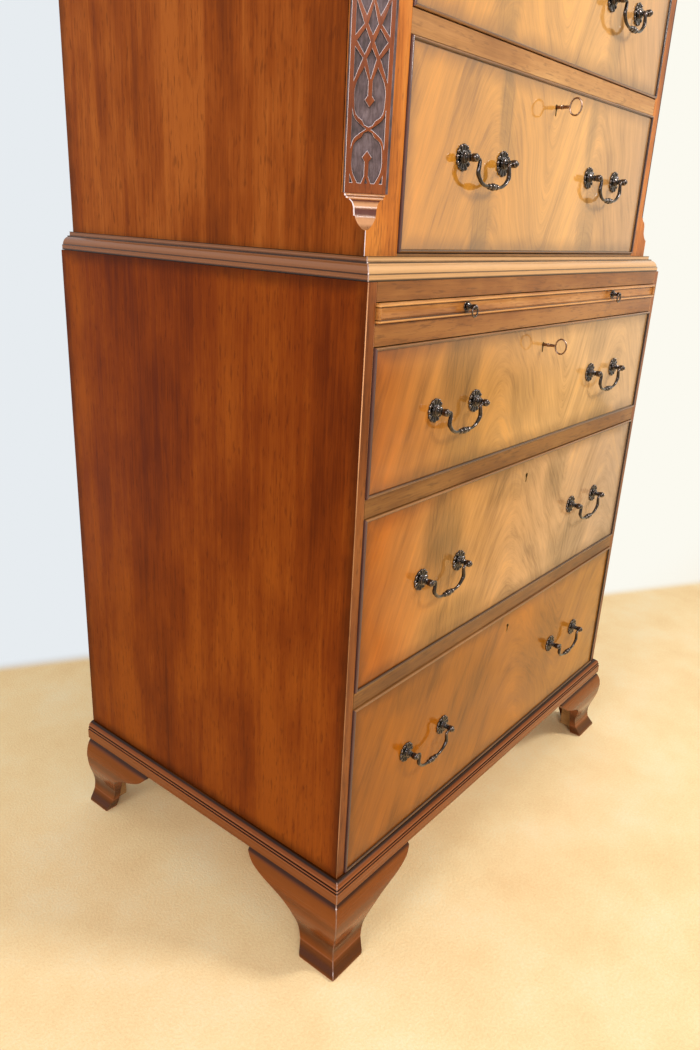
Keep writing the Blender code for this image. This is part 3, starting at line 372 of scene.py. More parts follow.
# Outlines, as shares of the sizes that they follow; a point given twice is a corner
FOOT_PROFILE = [
    (0.41, 1.0), (0.66, 0.96), (0.88, 0.89), (0.99, 0.81), (1.0, 0.735), (0.88, 0.6),
    (0.65, 0.49), (0.44, 0.4), (0.33, 0.33), (0.32, 0.26), (0.39, 0.18), (0.39, 0.18),
    (0.64, 0.11), (0.88, 0.055), (0.94, 0.035), (0.95, 0.012), (0.9, 0.0),
]
FOOT_ARCH = [
    (1.0, 0.96), (0.96, 0.91), (0.9, 0.85), (0.8, 0.79), (0.68, 0.73), (0.56, 0.665),
    (0.47, 0.58), (0.42, 0.46), (0.385, 0.33), (0.34, 0.15), (0.29, 0.0),
]
BASE_PROFILE = [
    (0.86, 0.0), (0.97, 0.03), (1.0, 0.1), (1.0, 0.1), (1.0, 0.52), (1.0, 0.52),
    (0.96, 0.56), (0.86, 0.575), (0.86, 0.575), (0.86, 0.6), (0.86, 0.6), (0.91, 0.62),
    (0.93, 0.66), (0.88, 0.7), (0.78, 0.71), (0.78, 0.71), (0.78, 0.735), (0.78, 0.735),
    (0.82, 0.76), (0.77, 0.83), (0.62, 0.9), (0.4, 0.96), (0.18, 1.0),
]
WAIST_PROFILE = [
    (0.0, 0.0), (0.0, 0.27), (0.0, 0.27), (0.1, 0.3), (0.1, 0.3), (0.16, 0.43),
    (0.36, 0.6), (0.66, 0.71), (0.66, 0.71), (0.7, 0.72), (0.72, 0.78), (0.72, 0.78),
    (0.96, 0.79), (1.0, 0.83), (1.0, 0.96), (0.96, 1.0),
]
CORNICE_PROFILE = [
    (0.06, 0.0), (0.1, 0.04), (0.1, 0.1), (0.06, 0.14), (0.06, 0.14), (0.06, 0.22),
    (0.06, 0.22), (0.14, 0.24), (0.16, 0.3), (0.22, 0.42), (0.38, 0.53), (0.58, 0.585),
    (0.58, 0.585), (0.6, 0.6), (0.6, 0.7), (0.6, 0.7), (0.66, 0.72), (0.68, 0.79),
    (0.8, 0.86), (0.94, 0.9), (0.94, 0.9), (1.0, 0.92), (1.0, 0.985), (0.98, 1.0),
]
STOP_PROFILE = [
    (0.02, 0.0), (0.13, 0.02), (0.27, 0.1), (0.4, 0.21), (0.5, 0.35), (0.53, 0.5),
    (0.55, 0.63), (0.63, 0.76), (0.76, 0.84), (0.76, 0.84), (0.86, 0.86), (0.88, 0.91),
    (0.88, 0.91), (0.94, 0.93), (0.96, 0.97), (0.93, 1.0),
]
BAIL_PATH = [
    (0.985, 0.06, 0.85), (0.975, 0.22, 1.0), (1.01, 0.46, 1.12), (1.0, 0.58, 1.15),
    (0.94, 0.68, 1.05), (0.78, 0.86, 0.95), (0.56, 0.97, 0.85), (0.36, 1.0, 0.8),
]
BEAD_CLUSTER = [
    (0.33, 0.85), (0.31, 1.15), (0.27, 1.45), (0.22, 1.5), (0.18, 1.15), (0.155, 0.85),
    (0.135, 1.1), (0.1, 1.6), (0.05, 1.8), (0.0, 1.85),
]
POST_PROFILE = [
    (0.18, 2.0), (0.24, 2.0), (0.28, 1.5), (0.33, 1.1), (0.38, 1.0), (0.42, 1.3), (0.46, 1.4),
    (0.5, 1.1), (0.54, 1.2), (0.6, 1.5), (0.72, 1.53), (0.84, 1.5), (0.9, 1.2), (0.93, 0.75),
    (0.955, 0.85), (0.98, 0.75), (0.995, 0.45), (1.0, 0.0),
]
ROSETTE_PROFILE = [
    (1.0, 0.0), (1.0, 0.1), (1.0, 0.34), (0.96, 0.5), (0.88, 0.54), (0.74, 0.44),
    (0.58, 0.36), (0.46, 0.38), (0.4, 0.52), (0.35, 0.8), (0.26, 0.96), (0.18, 1.0),
]

# Openings of the fret: (share of the half width, share of the half period, corner)
FRET_POCKET = [
    (0.0, 0.021, True), (0.2, 0.045, True), (0.31, 0.097, True), (0.6, 0.165, False),
    (0.71, 0.31, False), (0.68, 0.5, False), (0.31, 0.717, True), (0.095, 0.56, True),
    (0.095, 0.388, True), (0.22, 0.337, True), (0.0, 0.258, True),
]
FRET_SPANDREL = [(0.11, 0.0, True), (0.42, 0.061, True), (0.66, 0.125, False), (0.79, 0.243, True)]
FRET_KITE = [(0.0, 0.579, True), (0.23, 0.807, True), (0.0, 0.928, True)]
FRET_EDGE = [(0.79, 0.539, True), (0.79, 0.941, True), (0.4, 0.809, True)]
FRET_DIAMOND = [(0.09, 0.0, True), (0.33, 0.15, True), (0.71, 0.0, True)]

SIDES = (("left", -1), ("right", 1))
ACROSS, DEEP, UP = Vector((1, 0, 0)), Vector((0, 1, 0)), Vector((0, 0, 1))


def smooth_points(points, steps):
    """A smooth line through points; where a point is given twice it keeps its corner."""
    knots = [Vector(point) for point in points]
    line = knots[:1]
    for index, (start, end) in enumerate(zip(knots, knots[1:])):
        turn_in = (end - knots[max(index - 1, 0)]) * 0.5
        turn_out = (knots[min(index + 2, len(knots) - 1)] - start) * 0.5
        for step in range(1, steps + 1 if start != end else 1):
            t = step / steps
            line.append(
                start * (2 * t ** 3 - 3 * t ** 2 + 1) + turn_in * (t ** 3 - 2 * t ** 2 + t)
                + end * (3 * t ** 2 - 2 * t ** 3) + turn_out * (t ** 3 - t ** 2))
    return line


def at_height(line, height):
    """The first coordinate of a line of points at one height, given by the second."""
    for low, high in zip(line, line[1:]):
        bottom, top = sorted((low[1], high[1]))
        if bottom <= height <= top and top > bottom:
            return low[0] + (high[0] - low[0]) * (height - low[1]) / (high[1] - low[1])
    return line[0][0] if height > max(line[0][1], line[-1][1]) else line[-1][0]


def circle(centre, first, second, sides=ROUND_SIDES):
    """The points of a circle, from its centre and two radii at right angles."""
    turns = [2 * math.pi * side / sides for side in range(sides)]
    return [centre + first * math.cos(turn) + second * math.sin(turn) for turn in turns]


def skin(loops, closed=False, shape=None):
    """A shape with a skin through loops of equal counts, which is new unless one is given."""
    if shape is None:
        shape = bmesh.new()
    rings = [[shape.verts.new(point) for point in loop] for loop in loops]
    pairs = list(zip(rings, rings[1:]))
    if closed:
        pairs.append((rings[-1], rings[0]))
    for low, high in pairs:
        for index in range(len(low)):
            following = (index + 1) % len(low)
            shape.faces.new((low[index], low[following], high[following], high[index]))
    if not closed:
        shape.faces.new(rings[0])
        shape.faces.new(rings[-1])
    return shape


def to_mesh(name, shape):
    """A mesh made of a shape, which is used up."""
    bmesh.ops.recalc_face_normals(shape, faces=shape.faces)
    mesh = bpy.data.meshes.new(name)
    shape.to_mesh(mesh)
    shape.free()
    return mesh


def set_down(name, data):
    """A new object in the scene."""
    thing = bpy.data.objects.new(name, data)
    bpy.context.scene.collection.objects.link(thing)
    return thing


def fix(thing, body, stands_for):
    """Hangs a piece on its body, in the place of the node that it stands for."""
    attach(thing, body)
    if stands_for:
        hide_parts(stands_for)


def smooth(mesh, crease):
    """Shades a mesh smooth up to its creases."""
    mesh.shade_smooth()
    mesh.set_sharp_from_angle(angle=math.radians(crease))


def piece(name, shape, looks, body, stands_for=None, crease=30, arris=0.0):
    """Makes one piece from a shape and the names of its materials, and hangs it on its body."""
    bmesh.ops.remove_doubles(shape, verts=shape.verts, dist=0.000001)
    thing = set_down(name, to_mesh(name, shape))
    for material in looks.split():
        thing.data.materials.append(bpy.data.materials[material])
    if arris:
        soften(thing, arris)
    smooth(thing.data, crease)
    even_out(thing)
    fix(thing, body, stands_for)
    return thing


def evaluated(thing):
    """The mesh that an object's modifiers or its curve make."""
    graph = bpy.context.evaluated_depsgraph_get()
    return bpy.data.meshes.new_from_object(thing.evaluated_get(graph))


def modify(thing, kind, **settings):
    """Applies one modifier to an object."""
    modifier = thing.modifiers.new("change", kind)
    for key, value in settings.items():
        setattr(modifier, key, value)
    mesh = evaluated(thing)
    thing.modifiers.clear()
    thing.data = mesh


def even_out(thing):
    """Weighs the normals by face size, so that a broad face stays flat up to its rounded edges."""
    modify(thing, "WEIGHTED_NORMAL", weight=100, keep_sharp=True)


def soften(thing, width):
    """Rounds the sharp edges of a piece."""
    modify(
        thing, "BEVEL", width=width, segments=2, limit_method="ANGLE", angle_limit=math.radians(40))


def cut(thing, shape):
    """Cuts a shape out of a piece."""
    tool = set_down("cutter", to_mesh("cutter", shape))
    modify(thing, "BOOLEAN", operation="DIFFERENCE", solver="EXACT", object=tool)
    even_out(thing)
    bpy.data.objects.remove(tool, do_unlink=True)


def rectangle(left, right, bottom, top, y):
    """A loop round a rectangle that faces the front."""
    return [(left, y, bottom), (right, y, bottom), (right, y, top), (left, y, top)]


def block(low, high):
    """A shape of six faces between two corners."""
    return skin([rectangle(low[0], high[0], low[2], high[2], y) for y in (low[1], high[1])])


def lathe(profile, centre):
    """A shape turned from a profile of (along, radius) about an axis that points to the front."""
    rings = [(centre - DEEP * along, max(radius, 0.00001)) for along, radius in profile]
    return skin([circle(place, UP * radius, ACROSS * -radius) for place, radius in rings])


def srgb(red, green, blue):
    """A colour given in 0 to 255 as a screen shows it, as linear light."""
    shares = [part / 255 for part in (red, green, blue)]
    return tuple(s / 12.92 if s <= 0.04045 else ((s + 0.055) / 1.055) ** 2.4 for s in shares)


def stops(places, tones):
    """The places and the colours of a ramp."""
    return [(place, srgb(*tone)) for place, tone in zip(places, tones)]


def times(colour, factor):
    """A colour made lighter or darker."""
    return tuple(part * factor for part in colour)


def weighed(values, weights):
    """The sum of values, each times its weight."""
    total, *others = [value * weight for value, weight in zip(values, weights)]
    for other in others:
        total += other
    return total


class Value:
    """What a node of a graph gives, so that a sum of such values is written as a sum."""

    def __init__(self, graph, socket):
        self.graph = graph
        self.socket = socket

    def math(self, operation, *others):
        """The result of one operation, with this value first."""
        return self.graph.value("Math", dict(enumerate((self, *others))), operation=operation)

    def __add__(self, other):
        return self.math("ADD", other)

    def __sub__(self, other):
        return self.math("SUBTRACT", other)

    def __mul__(self, other):
        return self.math("MULTIPLY", other)

    def __truediv__(self, other):
        return self.math("DIVIDE", other)

    def __abs__(self):
        return self.math("ABSOLUTE")

    def parts(self):
        """The three coordinates of a point."""
        outputs = self.graph.node("SeparateXYZ", {0: self}).outputs
        return [Value(self.graph, output) for output in outputs]

    def scaled(self, scale, shift=(0.0, 0.0, 0.0)):
        """A point stretched along each axis and shifted."""
        return self.graph.value("Mapping", {"Vector": self, "Scale": scale, "Location": shift})

    def noise(self, scale, detail, roughness=0.55, distortion=0.0):
        """Soft noise between 0 and 1 at a point."""
        return self.graph.value("TexNoise", {
            "Vector": self, "Scale": scale, "Detail": detail, "Roughness": roughness,
            "Distortion": distortion})

    def texture(self, scales, *layer, shift=(0.0, 0.0, 0.0)):
        """Noise stretched along each axis, with its detail, roughness and distortion."""
        return self.scaled(scales, shift).noise(1.0, *layer)

    def span(self, low, high, first=0.0, second=1.0):
        """The value mapped smoothly from one range to another."""
        inputs = {"Value": self, "From Min": low, "From Max": high, "To Min": first, "To Max": second}
        return self.graph.value("MapRange", inputs, interpolation_type="SMOOTHSTEP")

    def ramp(self, colours):
        """A colour from a list of (place, colour)."""
        made = self.graph.node("ValToRGB", {0: self})
        elements = made.color_ramp.elements
        for index in (0, -1):
            elements[index].position = colours[index][0]
            elements[index].color = (*colours[index][1], 1.0)
        for place, colour in colours[1:-1]:
            elements.new(place).color = (*colour, 1.0)
        return Value(self.graph, made.outputs[0])

    def mix(self, share, other, blend="MIX"):
        """This colour with another mixed in by a share."""
        return self.graph.mix(share, self, other, blend)


class Graph:
    """A node tree, of a new material unless one is given, whose nodes are written as short calls."""

    def __init__(self, name, roughness=0.5, tree=None, **settings):
        if tree is None:
            material = bpy.data.materials.new(name)
            material.use_nodes = True
            tree = material.node_tree
            self.shader = tree.nodes["Principled BSDF"]
            self.shader.inputs["Roughness"].default_value = roughness
            for key, value in settings.items():
                self.shader.inputs[key.replace("_", " ")].default_value = value
        self.nodes, self.links = tree.nodes, tree.links

    def feed(self, entry, value):
        """Links a value to an input, or sets the input to a constant."""
        if isinstance(value, Value):
            self.links.new(value.socket, entry)
        elif entry.type == "RGBA":
            entry.default_value = (*value, 1.0)
        else:
            entry.default_value = value

    def node(self, kind, inputs, **settings):
        """A node with its settings, and its inputs as values or constants."""
        made = self.nodes.new("ShaderNode" + kind)
        for key, value in settings.items():
            setattr(made, key, value)
        for key, value in inputs.items():
            self.feed(made.inputs[key], value)
        return made

    def value(self, kind, inputs, output=0, **settings):
        """One output of a new node."""
        return Value(self, self.node(kind, inputs, **settings).outputs[output])

    def point(self):
        """The place on the piece, in metres of the frame."""
        return self.value("TexCoord", {}, "Object")

    def bend(self):
        """How sharply the piece bends: above a half on its edges and below it in its hollows."""
        return self.value("NewGeometry", {}, "Pointiness")

    def mix(self, share, first, second, blend="MIX"):
        """Two colours mixed by a share."""
        inputs = {0: share, 6: first, 7: second}
        return self.value("Mix", inputs, 2, data_type="RGBA", blend_type=blend, clamp_factor=True)

    def blend(self, share, first, second):
        """Two shaders mixed by a share."""
        return self.value("MixShader", {0: share, 1: first, 2: second})

    def finish(self, colour, height, relief, distance, roughness=None):
        """Links colour, bump and roughness."""
        bump = {"Strength": relief, "Distance": distance, "Height": height}
        inputs = {"Base Color": colour, "Normal": self.value("Bump", bump)}
        if roughness:
            inputs["Roughness"] = roughness
        for key, value in inputs.items():
            self.feed(self.shader.inputs[key], value)


def edge_share(point, low, high, width, axes):
    """How near a point is to the edges of its board: 1 at an edge, 0 a width or more inside."""
    parts = point.parts()
    near, *others = [parts[axis] - low[axis] for axis in axes]
    others += [parts[axis] * -1.0 + high[axis] for axis in axes]
    for other in others:
        near = near.math("MINIMUM", other)
    wander = point.noise(30.0, 2.0) * (width * 0.8)
    return (near + wander).span(width * 0.3, width * 1.5, 1.0, 0.0)


def grain_layer(point, grain, layer, shift=(0.0, 0.0, 0.0)):
    """One layer of texture that is drawn out along the grain's axis."""
    across, along, *rest = layer
    return point.texture([along if axis == grain else across for axis in "XYZ"], *rest, shift=shift)


def wood(
        name, grain, tones, seed, gloss=0.34, coat=0.35, haze=0.14, specular=0.3,
        weights=GRAIN_WEIGHTS, edges=None, leaf=None, lift=None, worn=0.0, stained=(), rubbed=(),
        shade_tint=None):
    """Polished straight-grained mahogany with its bands, streaks, pores, and lines of painted shade, partly
    dirt, and of painted highlight.
    """
    graph = Graph(
        name, gloss, Coat_Weight=coat, Coat_Roughness=haze, IOR=1.5, Specular_IOR_Level=specular)
    dark, light = srgb(*tones[0]), srgb(*tones[-1])
    point = graph.point()
    _, y, z = point.parts()
    shift = [seed * step for step in SEED_SHIFTS]
    band, streak, fibre, pore = (
        grain_layer(point, grain, layer, shift)
        for layer in (BAND_LAYER, STREAK_LAYER, FIBRE_LAYER, PORE_LAYER))
    mottle = grain_layer(point, grain, MOTTLE_LAYER)
    tone = weighed((band, streak, fibre, mottle), weights)
    if lift:
        tone += z.span(*lift, *LIFT_TONES)
    if leaf is not None:
        tone += y.span(leaf - LEAF_SEAM, leaf + LEAF_SEAM, -LEAF_STEP, LEAF_STEP)
    pores = pore.span(*PORE_SPAN)
    flecks = grain_layer(point, grain, FLECK_LAYER).span(*FLECK_SPAN)
    colour = tone.ramp(stops(WOOD_STOPS, tones)).mix(pores * PORE_SHADE, dark)
    colour = colour.mix(flecks * FLECK_SHADE, times(dark, 0.7))
    if edges:
        # Painted shade towards the board's edges, as at its top under the waist moulding
        colour = colour.mix(edge_share(point, *edges) * SIDE_EDGE_SHADE, times(dark, 0.22))
    # Lighter on sharp crests and darker in hollows, by how sharply the surface bends
    if worn:
        bend = graph.bend()
        colour = colour.mix(bend.span(*CREST_SPAN) * worn, times(light, 1.35))
        colour = colour.mix(bend.span(*HOLLOW_SPAN) * worn, times(dark, 0.20))
    shade = srgb(*shade_tint) if shade_tint else times(dark, 0.12)
    bright = tuple(min(part * 1.7 + 0.05, 1.0) for part in light)
    # Lines of painted shade, partly dirt in the quirks, and lines of painted highlight
    for lines, line_colour in ((stained, shade), (rubbed, bright)):
        for level, half, strength in lines:
            off = (streak - 0.5) * half + abs(z - level)
            near = off.span(half * 0.3, half * 1.6, 1.0, 0.0)
            colour = colour.mix(near * strength, line_colour)
    rough = streak.span(0.3, 0.7, gloss - 0.05, gloss + 0.07)
    graph.finish(colour, fibre * 0.35 - pores, 0.08, 0.0003, rough)


def strand_line(x, z, wander, low, high, plumes, rise, lean):
    """The height at which a strand would start, so that strands arch over the plumes."""
    nearest = None
    for place in plumes:
        offset = wander * PLUME_WANDER + (x - (low[0] + (high[0] - low[0]) * place))
        away = abs((z - (low[2] + high[2]) / 2) * lean + offset)
        nearest = nearest.math("SMOOTH_MIN", away, FLAME_BLEND) if nearest else away
    arch = (nearest * nearest + FLAME_ARCH ** 2).math("SQRT")
    return arch * rise + z + wander * STRAND_WANDER


def flame(name, low, high, seed, veneer, plumes, rise, lean, smokes):
    """Flame veneer: strands that rise to arches over the plumes, and smoky patches with combed tops."""
    tones, polish = veneer
    graph = Graph(
        name, 0.30, Coat_Weight=0.8, Coat_IOR=polish, Coat_Roughness=0.06, IOR=1.5,
        Specular_IOR_Level=0.05)
    point = graph.point()
    x, _, z = point.parts()
    width, tall = high[0] - low[0], high[2] - low[2]
    shifted = point.scaled((1.0, 1.0, 1.0), (seed, seed, seed))
    wander = shifted.texture(*WANDER) - 0.5
    climb = strand_line(x, z, wander, low, high, plumes, rise, lean)
    strands = graph.value("CombineXYZ", {0: climb, 1: x, 2: seed})
    broad, strand, fine, pore, mottle = (
        strands.texture((across, along, 1.0), *rest) for across, along, *rest in FLAME_LAYERS)
    cloud = shifted.texture(*CLOUD)
    tone = weighed((broad, strand, fine, mottle, cloud), FLAME_WEIGHTS)
    across = wander * TONE_WANDER + (x - low[0]) / width
    drift = across.ramp(stops(TONE_STOPS, tones))
    colour = tone.ramp(FLAME_SHADES).mix(1.0, drift, "MULTIPLY")
    ragged = shifted.texture(*RAGGED)
    comb = shifted.texture(*COMB).span(*COMB_SPAN)
    for across, up, reach, climb_reach, strength in smokes:
        aside = (wander * SMOKE_WANDER + (x - (low[0] + width * across))) / (width * reach)
        above = (z - (low[2] + tall * up)) / (tall * climb_reach)
        spread = ragged * SMOKE_TEAR + (aside * aside + above * above - SMOKE_CORE)
        patch = spread.span(0.0, SMOKE_FADE, 1.0, 0.0) * strength
        colour = colour.mix(patch, SMOKE, "MULTIPLY").mix(comb * patch, SMOKE_COMB, "MULTIPLY")
    pores = pore.span(*FLAME_PORES) * FLAME_PORE_SHADE
    # Painted shade round the front's border
    border = edge_share(point, low, high, BORDER, (0, 2)) * BORDER_SHARE
    colour = colour.mix(pores, srgb(*FLAME_PORE)).mix(border, BORDER_SHADE, "MULTIPLY")
    graph.finish(colour, fine * 0.4 - pores, 0.04, 0.0002)


def metal(name, dark, light, roughness, coat=0.0):
    """Cast or drawn metal, darkened in its hollows and polished bright by handling on its raised parts."""
    graph = Graph(name, roughness, Metallic=1.0, Coat_Weight=coat, Coat_Roughness=0.15)
    cloud = graph.point().noise(180.0, 4.0, 0.6)
    speck = graph.point().noise(1400.0, 2.0, 0.6)
    rub = (cloud * 0.10 + graph.bend()).span(0.55, 0.73)
    colour = graph.mix(rub, srgb(*dark), srgb(*light))
    rough = cloud.span(0.3, 0.7, roughness - 0.06, roughness + 0.10)
    graph.finish(colour, cloud * 0.6 + speck * 0.4, 0.18, 0.0003, rough)


def recess(name):
    """The dark ground behind the fret, left rough from the saw."""
    graph = Graph(name, 0.55)
    tooth = graph.point().texture((500.0, 500.0, 90.0), 4.0, 0.7)
    cloud = graph.point().noise(60.0, 3.0, 0.6)
    colour = weighed((cloud, tooth), (0.5, 0.5)).ramp(stops(GROUND_STOPS, GROUND))
    graph.finish(colour, tooth, 0.5, 0.0004)


def lit_edge(name, dark, light, full):
    """A cut edge in painted highlight where it faces up and to the left, and in painted shade elsewhere."""
    graph = Graph(name, 0.30, Specular_IOR_Level=0.2)
    normal = graph.value("NewGeometry", {}, "True Normal").parts()
    patchy = graph.point().texture((300.0, 300.0, 60.0), 3.0, 0.6)
    facing = (patchy - 0.5) * 0.5 + weighed(normal, PAINTED_LIGHT_FROM)
    colour = graph.mix(facing.span(0.0, full), srgb(*dark), srgb(*light))
    graph.finish(colour, patchy, 0.10, 0.0002)


def seen_directly(graph):
    """The share of rays that come from the camera, a mirror or a glass: 1 for them, 0 for others."""
    names = ("Is Camera Ray", "Is Glossy Ray", "Is Transmission Ray")
    camera, glossy, through = (graph.value("LightPath", {}, name) for name in names)
    return camera.math("MAXIMUM", glossy).math("MAXIMUM", through)


def backdrop(graph, direction):
    """The colour of the pale backdrop, cool towards the left of the view and warm towards the right."""
    x, y, _ = direction.parts()
    flat = (x * x + y * y).math("SQRT").math("MAXIMUM", 0.001)
    cool, warm, room = (srgb(*tone) for tone in (BACKDROP_COOL, BACKDROP_WARM, BACKDROP_ROOM))
    return graph.mix((x / flat).span(0.55, 0.93), cool, warm).mix((y / flat).span(0.0, -0.4), room)


def carpet(name):
    """The pale floor: short sandy pile round the chest that fades into the pale backdrop."""
    graph = Graph(name, 0.95, Specular_IOR_Level=0.1)
    point = graph.point()
    x, y, _ = point.parts()
    away = (x * x + y * y).math("SQRT").span(FLOOR_REACH, FLOOR_REACH + FLOOR_BLEND)
    behind = weighed((x, y), WALL_NORMAL)
    faded = behind.span(WALL_DISTANCE, WALL_DISTANCE + WALL_BLEND).math("MAXIMUM", away)
    tuft = point.noise(260.0, 3.0, 0.7)
    cloud = point.noise(6.0, 5.0, 0.6)
    pale = backdrop(graph, point)
    pile = (cloud * 0.6 + tuft * 0.4).ramp(stops(PILE_STOPS, FLOOR_PILE))
    graph.finish(pile.mix(faded, pale), tuft, 0.30, 0.004)
    glow = graph.value("Emission", {"Color": pale, "Strength": 1.0})
    surface = graph.blend(faded * seen_directly(graph), Value(graph, graph.shader.outputs[0]), glow)
    graph.feed(graph.nodes["Material Output"].inputs["Surface"], surface)


def level_lines(bottom, tall, stained, rubbed):
    """Lines of painted shade and of painted highlight as (height, half width, strength), from shares of a
    height.
    """
    return {
        kind: [(bottom + tall * up, tall * half, strength) for up, half, strength in shares]
        for kind, shares in (("stained", stained), ("rubbed", rubbed))
    }


def node_lines(node, stained, rubbed):
    """The lines of painted shade and of painted highlight of a piece as high as a node."""
    low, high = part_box(node)
    return level_lines(low.z, high.z - low.z, stained, rubbed)


def finishes():
    """Makes every material that more than one piece uses."""
    # Lines of painted shade and painted highlight on the lamb's tongue and the slide, and painted highlights
    # on the lower case's front arris
    tongue_foot = post_low.z + STOP_FOOT
    tongue_lines = level_lines(tongue_foot, STOP_HEIGHT, TONGUE_SHADE_LINES, TONGUE_HIGHLIGHTS)
    slide_lines = node_lines("brushing_slide", SLIDE_SHADE_AND_STAIN, SLIDE_HIGHLIGHTS)
    arris_lines = node_lines("lower_side_left", (), ARRIS_HIGHLIGHTS)
    wood("ledge_wood", "X", LEDGE, 18.0, specular=0.2)
    wood("slide_wood", "X", SLIDE, 19.0, specular=0.2, gloss=0.28, **slide_lines)
    wood("tan_wood", "X", TAN, 2.0)
    wood("rail_wood", "X", RAIL, 10.0, specular=0.2)
    for axis, tones in (("X", BEAD), ("Z", PLUM)):
        wood("bead_wood_" + axis, axis, tones, 3.0, gloss=0.26, coat=0.7, worn=0.5)
    # The lower stile's tones are darker than the upper stile's, partly as painted shade on the lower case
    for name, tones, seed in (("stile_wood", ORANGE, 5.0), ("lower_stile_wood", UMBER, 13.0)):
        wood(name, "Z", tones, seed, coat=0.2, specular=0.15)
    wood("fret_wood", "Z", FRET, 7.0, coat=0.5, specular=0.1)
    # The lamb's tongue: a band of painted shade under its bulge and painted highlights on its curves
    wood(
        "tongue_wood", "Z", TONGUE, 15.0, gloss=0.22, coat=0.5, haze=0.20, shade_tint=TONGUE_SHADE_TINT,
        **tongue_lines)
    # Painted highlights for the chamfered corners, and a softer one for the lower case's front arris
    wood("glint_wood", "Z", GLINT, 16.0, gloss=0.20, coat=0.5)
    wood("soft_glint_wood", "Z", SOFT_GLINT, 20.0, gloss=0.24, coat=0.4, **arris_lines)
    wood("lining_wood", "Y", LINING, 8.0, gloss=0.55, coat=0.0)
    wood("back_wood", "Z", BACK, 9.0, gloss=0.65, coat=0.0)
    for axis, waist in (("X", PALE), ("Y", COVE)):
        wood("cornice_wood_" + axis, axis, BROWN, 4.0, gloss=0.28, coat=0.5, worn=0.6)
        for kind, tones, coat, *lines in (
            ("base_wood_", BROWN, 0.28, "base_frame", BASE_SHADE_AND_STAIN, BASE_HIGHLIGHTS),
            ("foot_wood_", BROWN, 0.28, "foot_front_left", FOOT_SHADE_AND_STAIN, FOOT_HIGHLIGHTS),
            ("waist_wood_", waist, 0.5, "waist_moulding", WAIST_SHADE_AND_STAIN, WAIST_HIGHLIGHTS),
        ):
            wood(
                kind + axis, axis, tones, 14.0, gloss=0.24, coat=coat, specular=0.1, worn=0.7,
                **node_lines(*lines))
    # Cut edges and walls of the fret and the posts' chamfers: painted highlight where they face the painted
    # light, painted shade elsewhere
    lit_edge("fret_edge", *FRET_ARRIS, 0.5)
    lit_edge("fret_wall", *FRET_WALL, 0.9)
    recess("fret_ground")
    metal("dark_bronze_metal", *BRONZE, 0.16, coat=0.9)
    metal("key_metal", *STEEL, 0.25)
    metal("liner_metal", *BRASS, 0.35)


def side_finish(name, low, high, seed, tones, leaf=None):
    """The veneer of one case side: deep red-brown with a few wide bands, darker at its edges."""
    wood(
        name, "Z", tones, seed, gloss=0.38, coat=0.0, specular=0.07, weights=SIDE_WEIGHTS, leaf=leaf,
        edges=(low, high, SIDE_EDGE, (1, 2)), lift=(low.z, low.z + SIDE_LIFT))


def bail_shape():
    """A swan-neck bail about the middle of its pins' axis, which runs along X."""
    half = PIN_PITCH / 2
    neck = [(half + HEAD_RADIUS / 2, 0.0, PIN_RADIUS), (half - HEAD_RADIUS, 0.0, PIN_RADIUS)]
    curve = [
        (BAIL_SWELL * along, -BAIL_DROP * down, BAIL_RADIUS * size)
        for along, down, size in BAIL_PATH
    ]
    beads = [(BAIL_SWELL * along, -BAIL_DROP, BAIL_RADIUS * size) for along, size in BEAD_CLUSTER]
    line = [Vector(neck[0])] + smooth_points([neck[1]] + curve, 6) + [Vector(bead) for bead in beads]
    line += [Vector((-x, z, radius)) for x, z, radius in reversed(line[:-1])]
    loops = []
    for index, (x, z, radius) in enumerate(line):
        before, after = line[max(index - 1, 0)], line[min(index + 1, len(line) - 1)]
        run = Vector((after[0] - before[0], 0, after[1] - before[1])).normalized()
        across = Vector((run.z, 0, -run.x))
        loops.append(circle(Vector((x, 0, z)), across * radius, DEEP * radius))
    return skin(loops)


def rosette_shape(radius):
    """A pressed flower rosette that lies on a front at its origin and faces -Y."""
    sides = ROSETTE_PETALS * 6
    depth = ROSETTE_DEPTH * radius / ROSETTE_RADIUS
    loops = []
    for reach, lift in smooth_points(ROSETTE_PROFILE, 2):
        weight = min(max((reach - 0.40) / 0.3, 0.0), 1.0)
        ring = []
        for step in range(sides):
            turn = 2 * math.pi * step / sides
            groove = weight * (1 - abs(math.cos(ROSETTE_PETALS * turn / 2)) ** 0.5)
            far = radius * reach * (1 - PETAL_NOTCH * groove)
            rise = depth * lift * (1 - PETAL_GROOVE * groove)
            ring.append((far * math.cos(turn), -rise, far * math.sin(turn)))
        loops.append(ring)
    return skin(loops)


def post_shape(reach, unit, pin_out):
    """A turned post that stands on a front at its origin, with a pierced head and a small finial."""
    profile = []
    for along, size in smooth_points(POST_PROFILE, 2):
        scale = pin_out / PIN_OUT if along < 0.6 else reach / POST_REACH
        profile.append((min(POST_REACH * along * scale, reach), unit * max(size, 0.0)))
    profile[-1] = (reach, 0.0)
    return lathe(profile, Vector())


def ring_shape():
    """A small ring that hangs from its origin and is straight where its post holds it."""
    flat = RING_RADIUS - math.sqrt(RING_RADIUS ** 2 - RING_HEAD ** 2)
    loops = []
    for spoke in circle(Vector(), UP, ACROSS, RING_STEPS):
        centre = spoke * RING_RADIUS - UP * (RING_RADIUS - flat)
        centre.z = min(centre.z, 0.0)
        loops.append(circle(centre, spoke * RING_WIRE, DEEP * RING_WIRE, WIRE_SIDES))
    return skin(loops, closed=True)


def shared(name, shape):
    """Makes a bronze mesh that several pieces share."""
    mesh = to_mesh(name, shape)
    mesh.materials.append(bpy.data.materials["dark_bronze_metal"])
    smooth(mesh, 40)


def copy_of(mesh, name, place, body, stands_for=None):
    """One more piece with a shared mesh, set down at a place."""
    thing = set_down(name, bpy.data.meshes[mesh])
    thing.location = place
    fix(thing, body, stands_for)


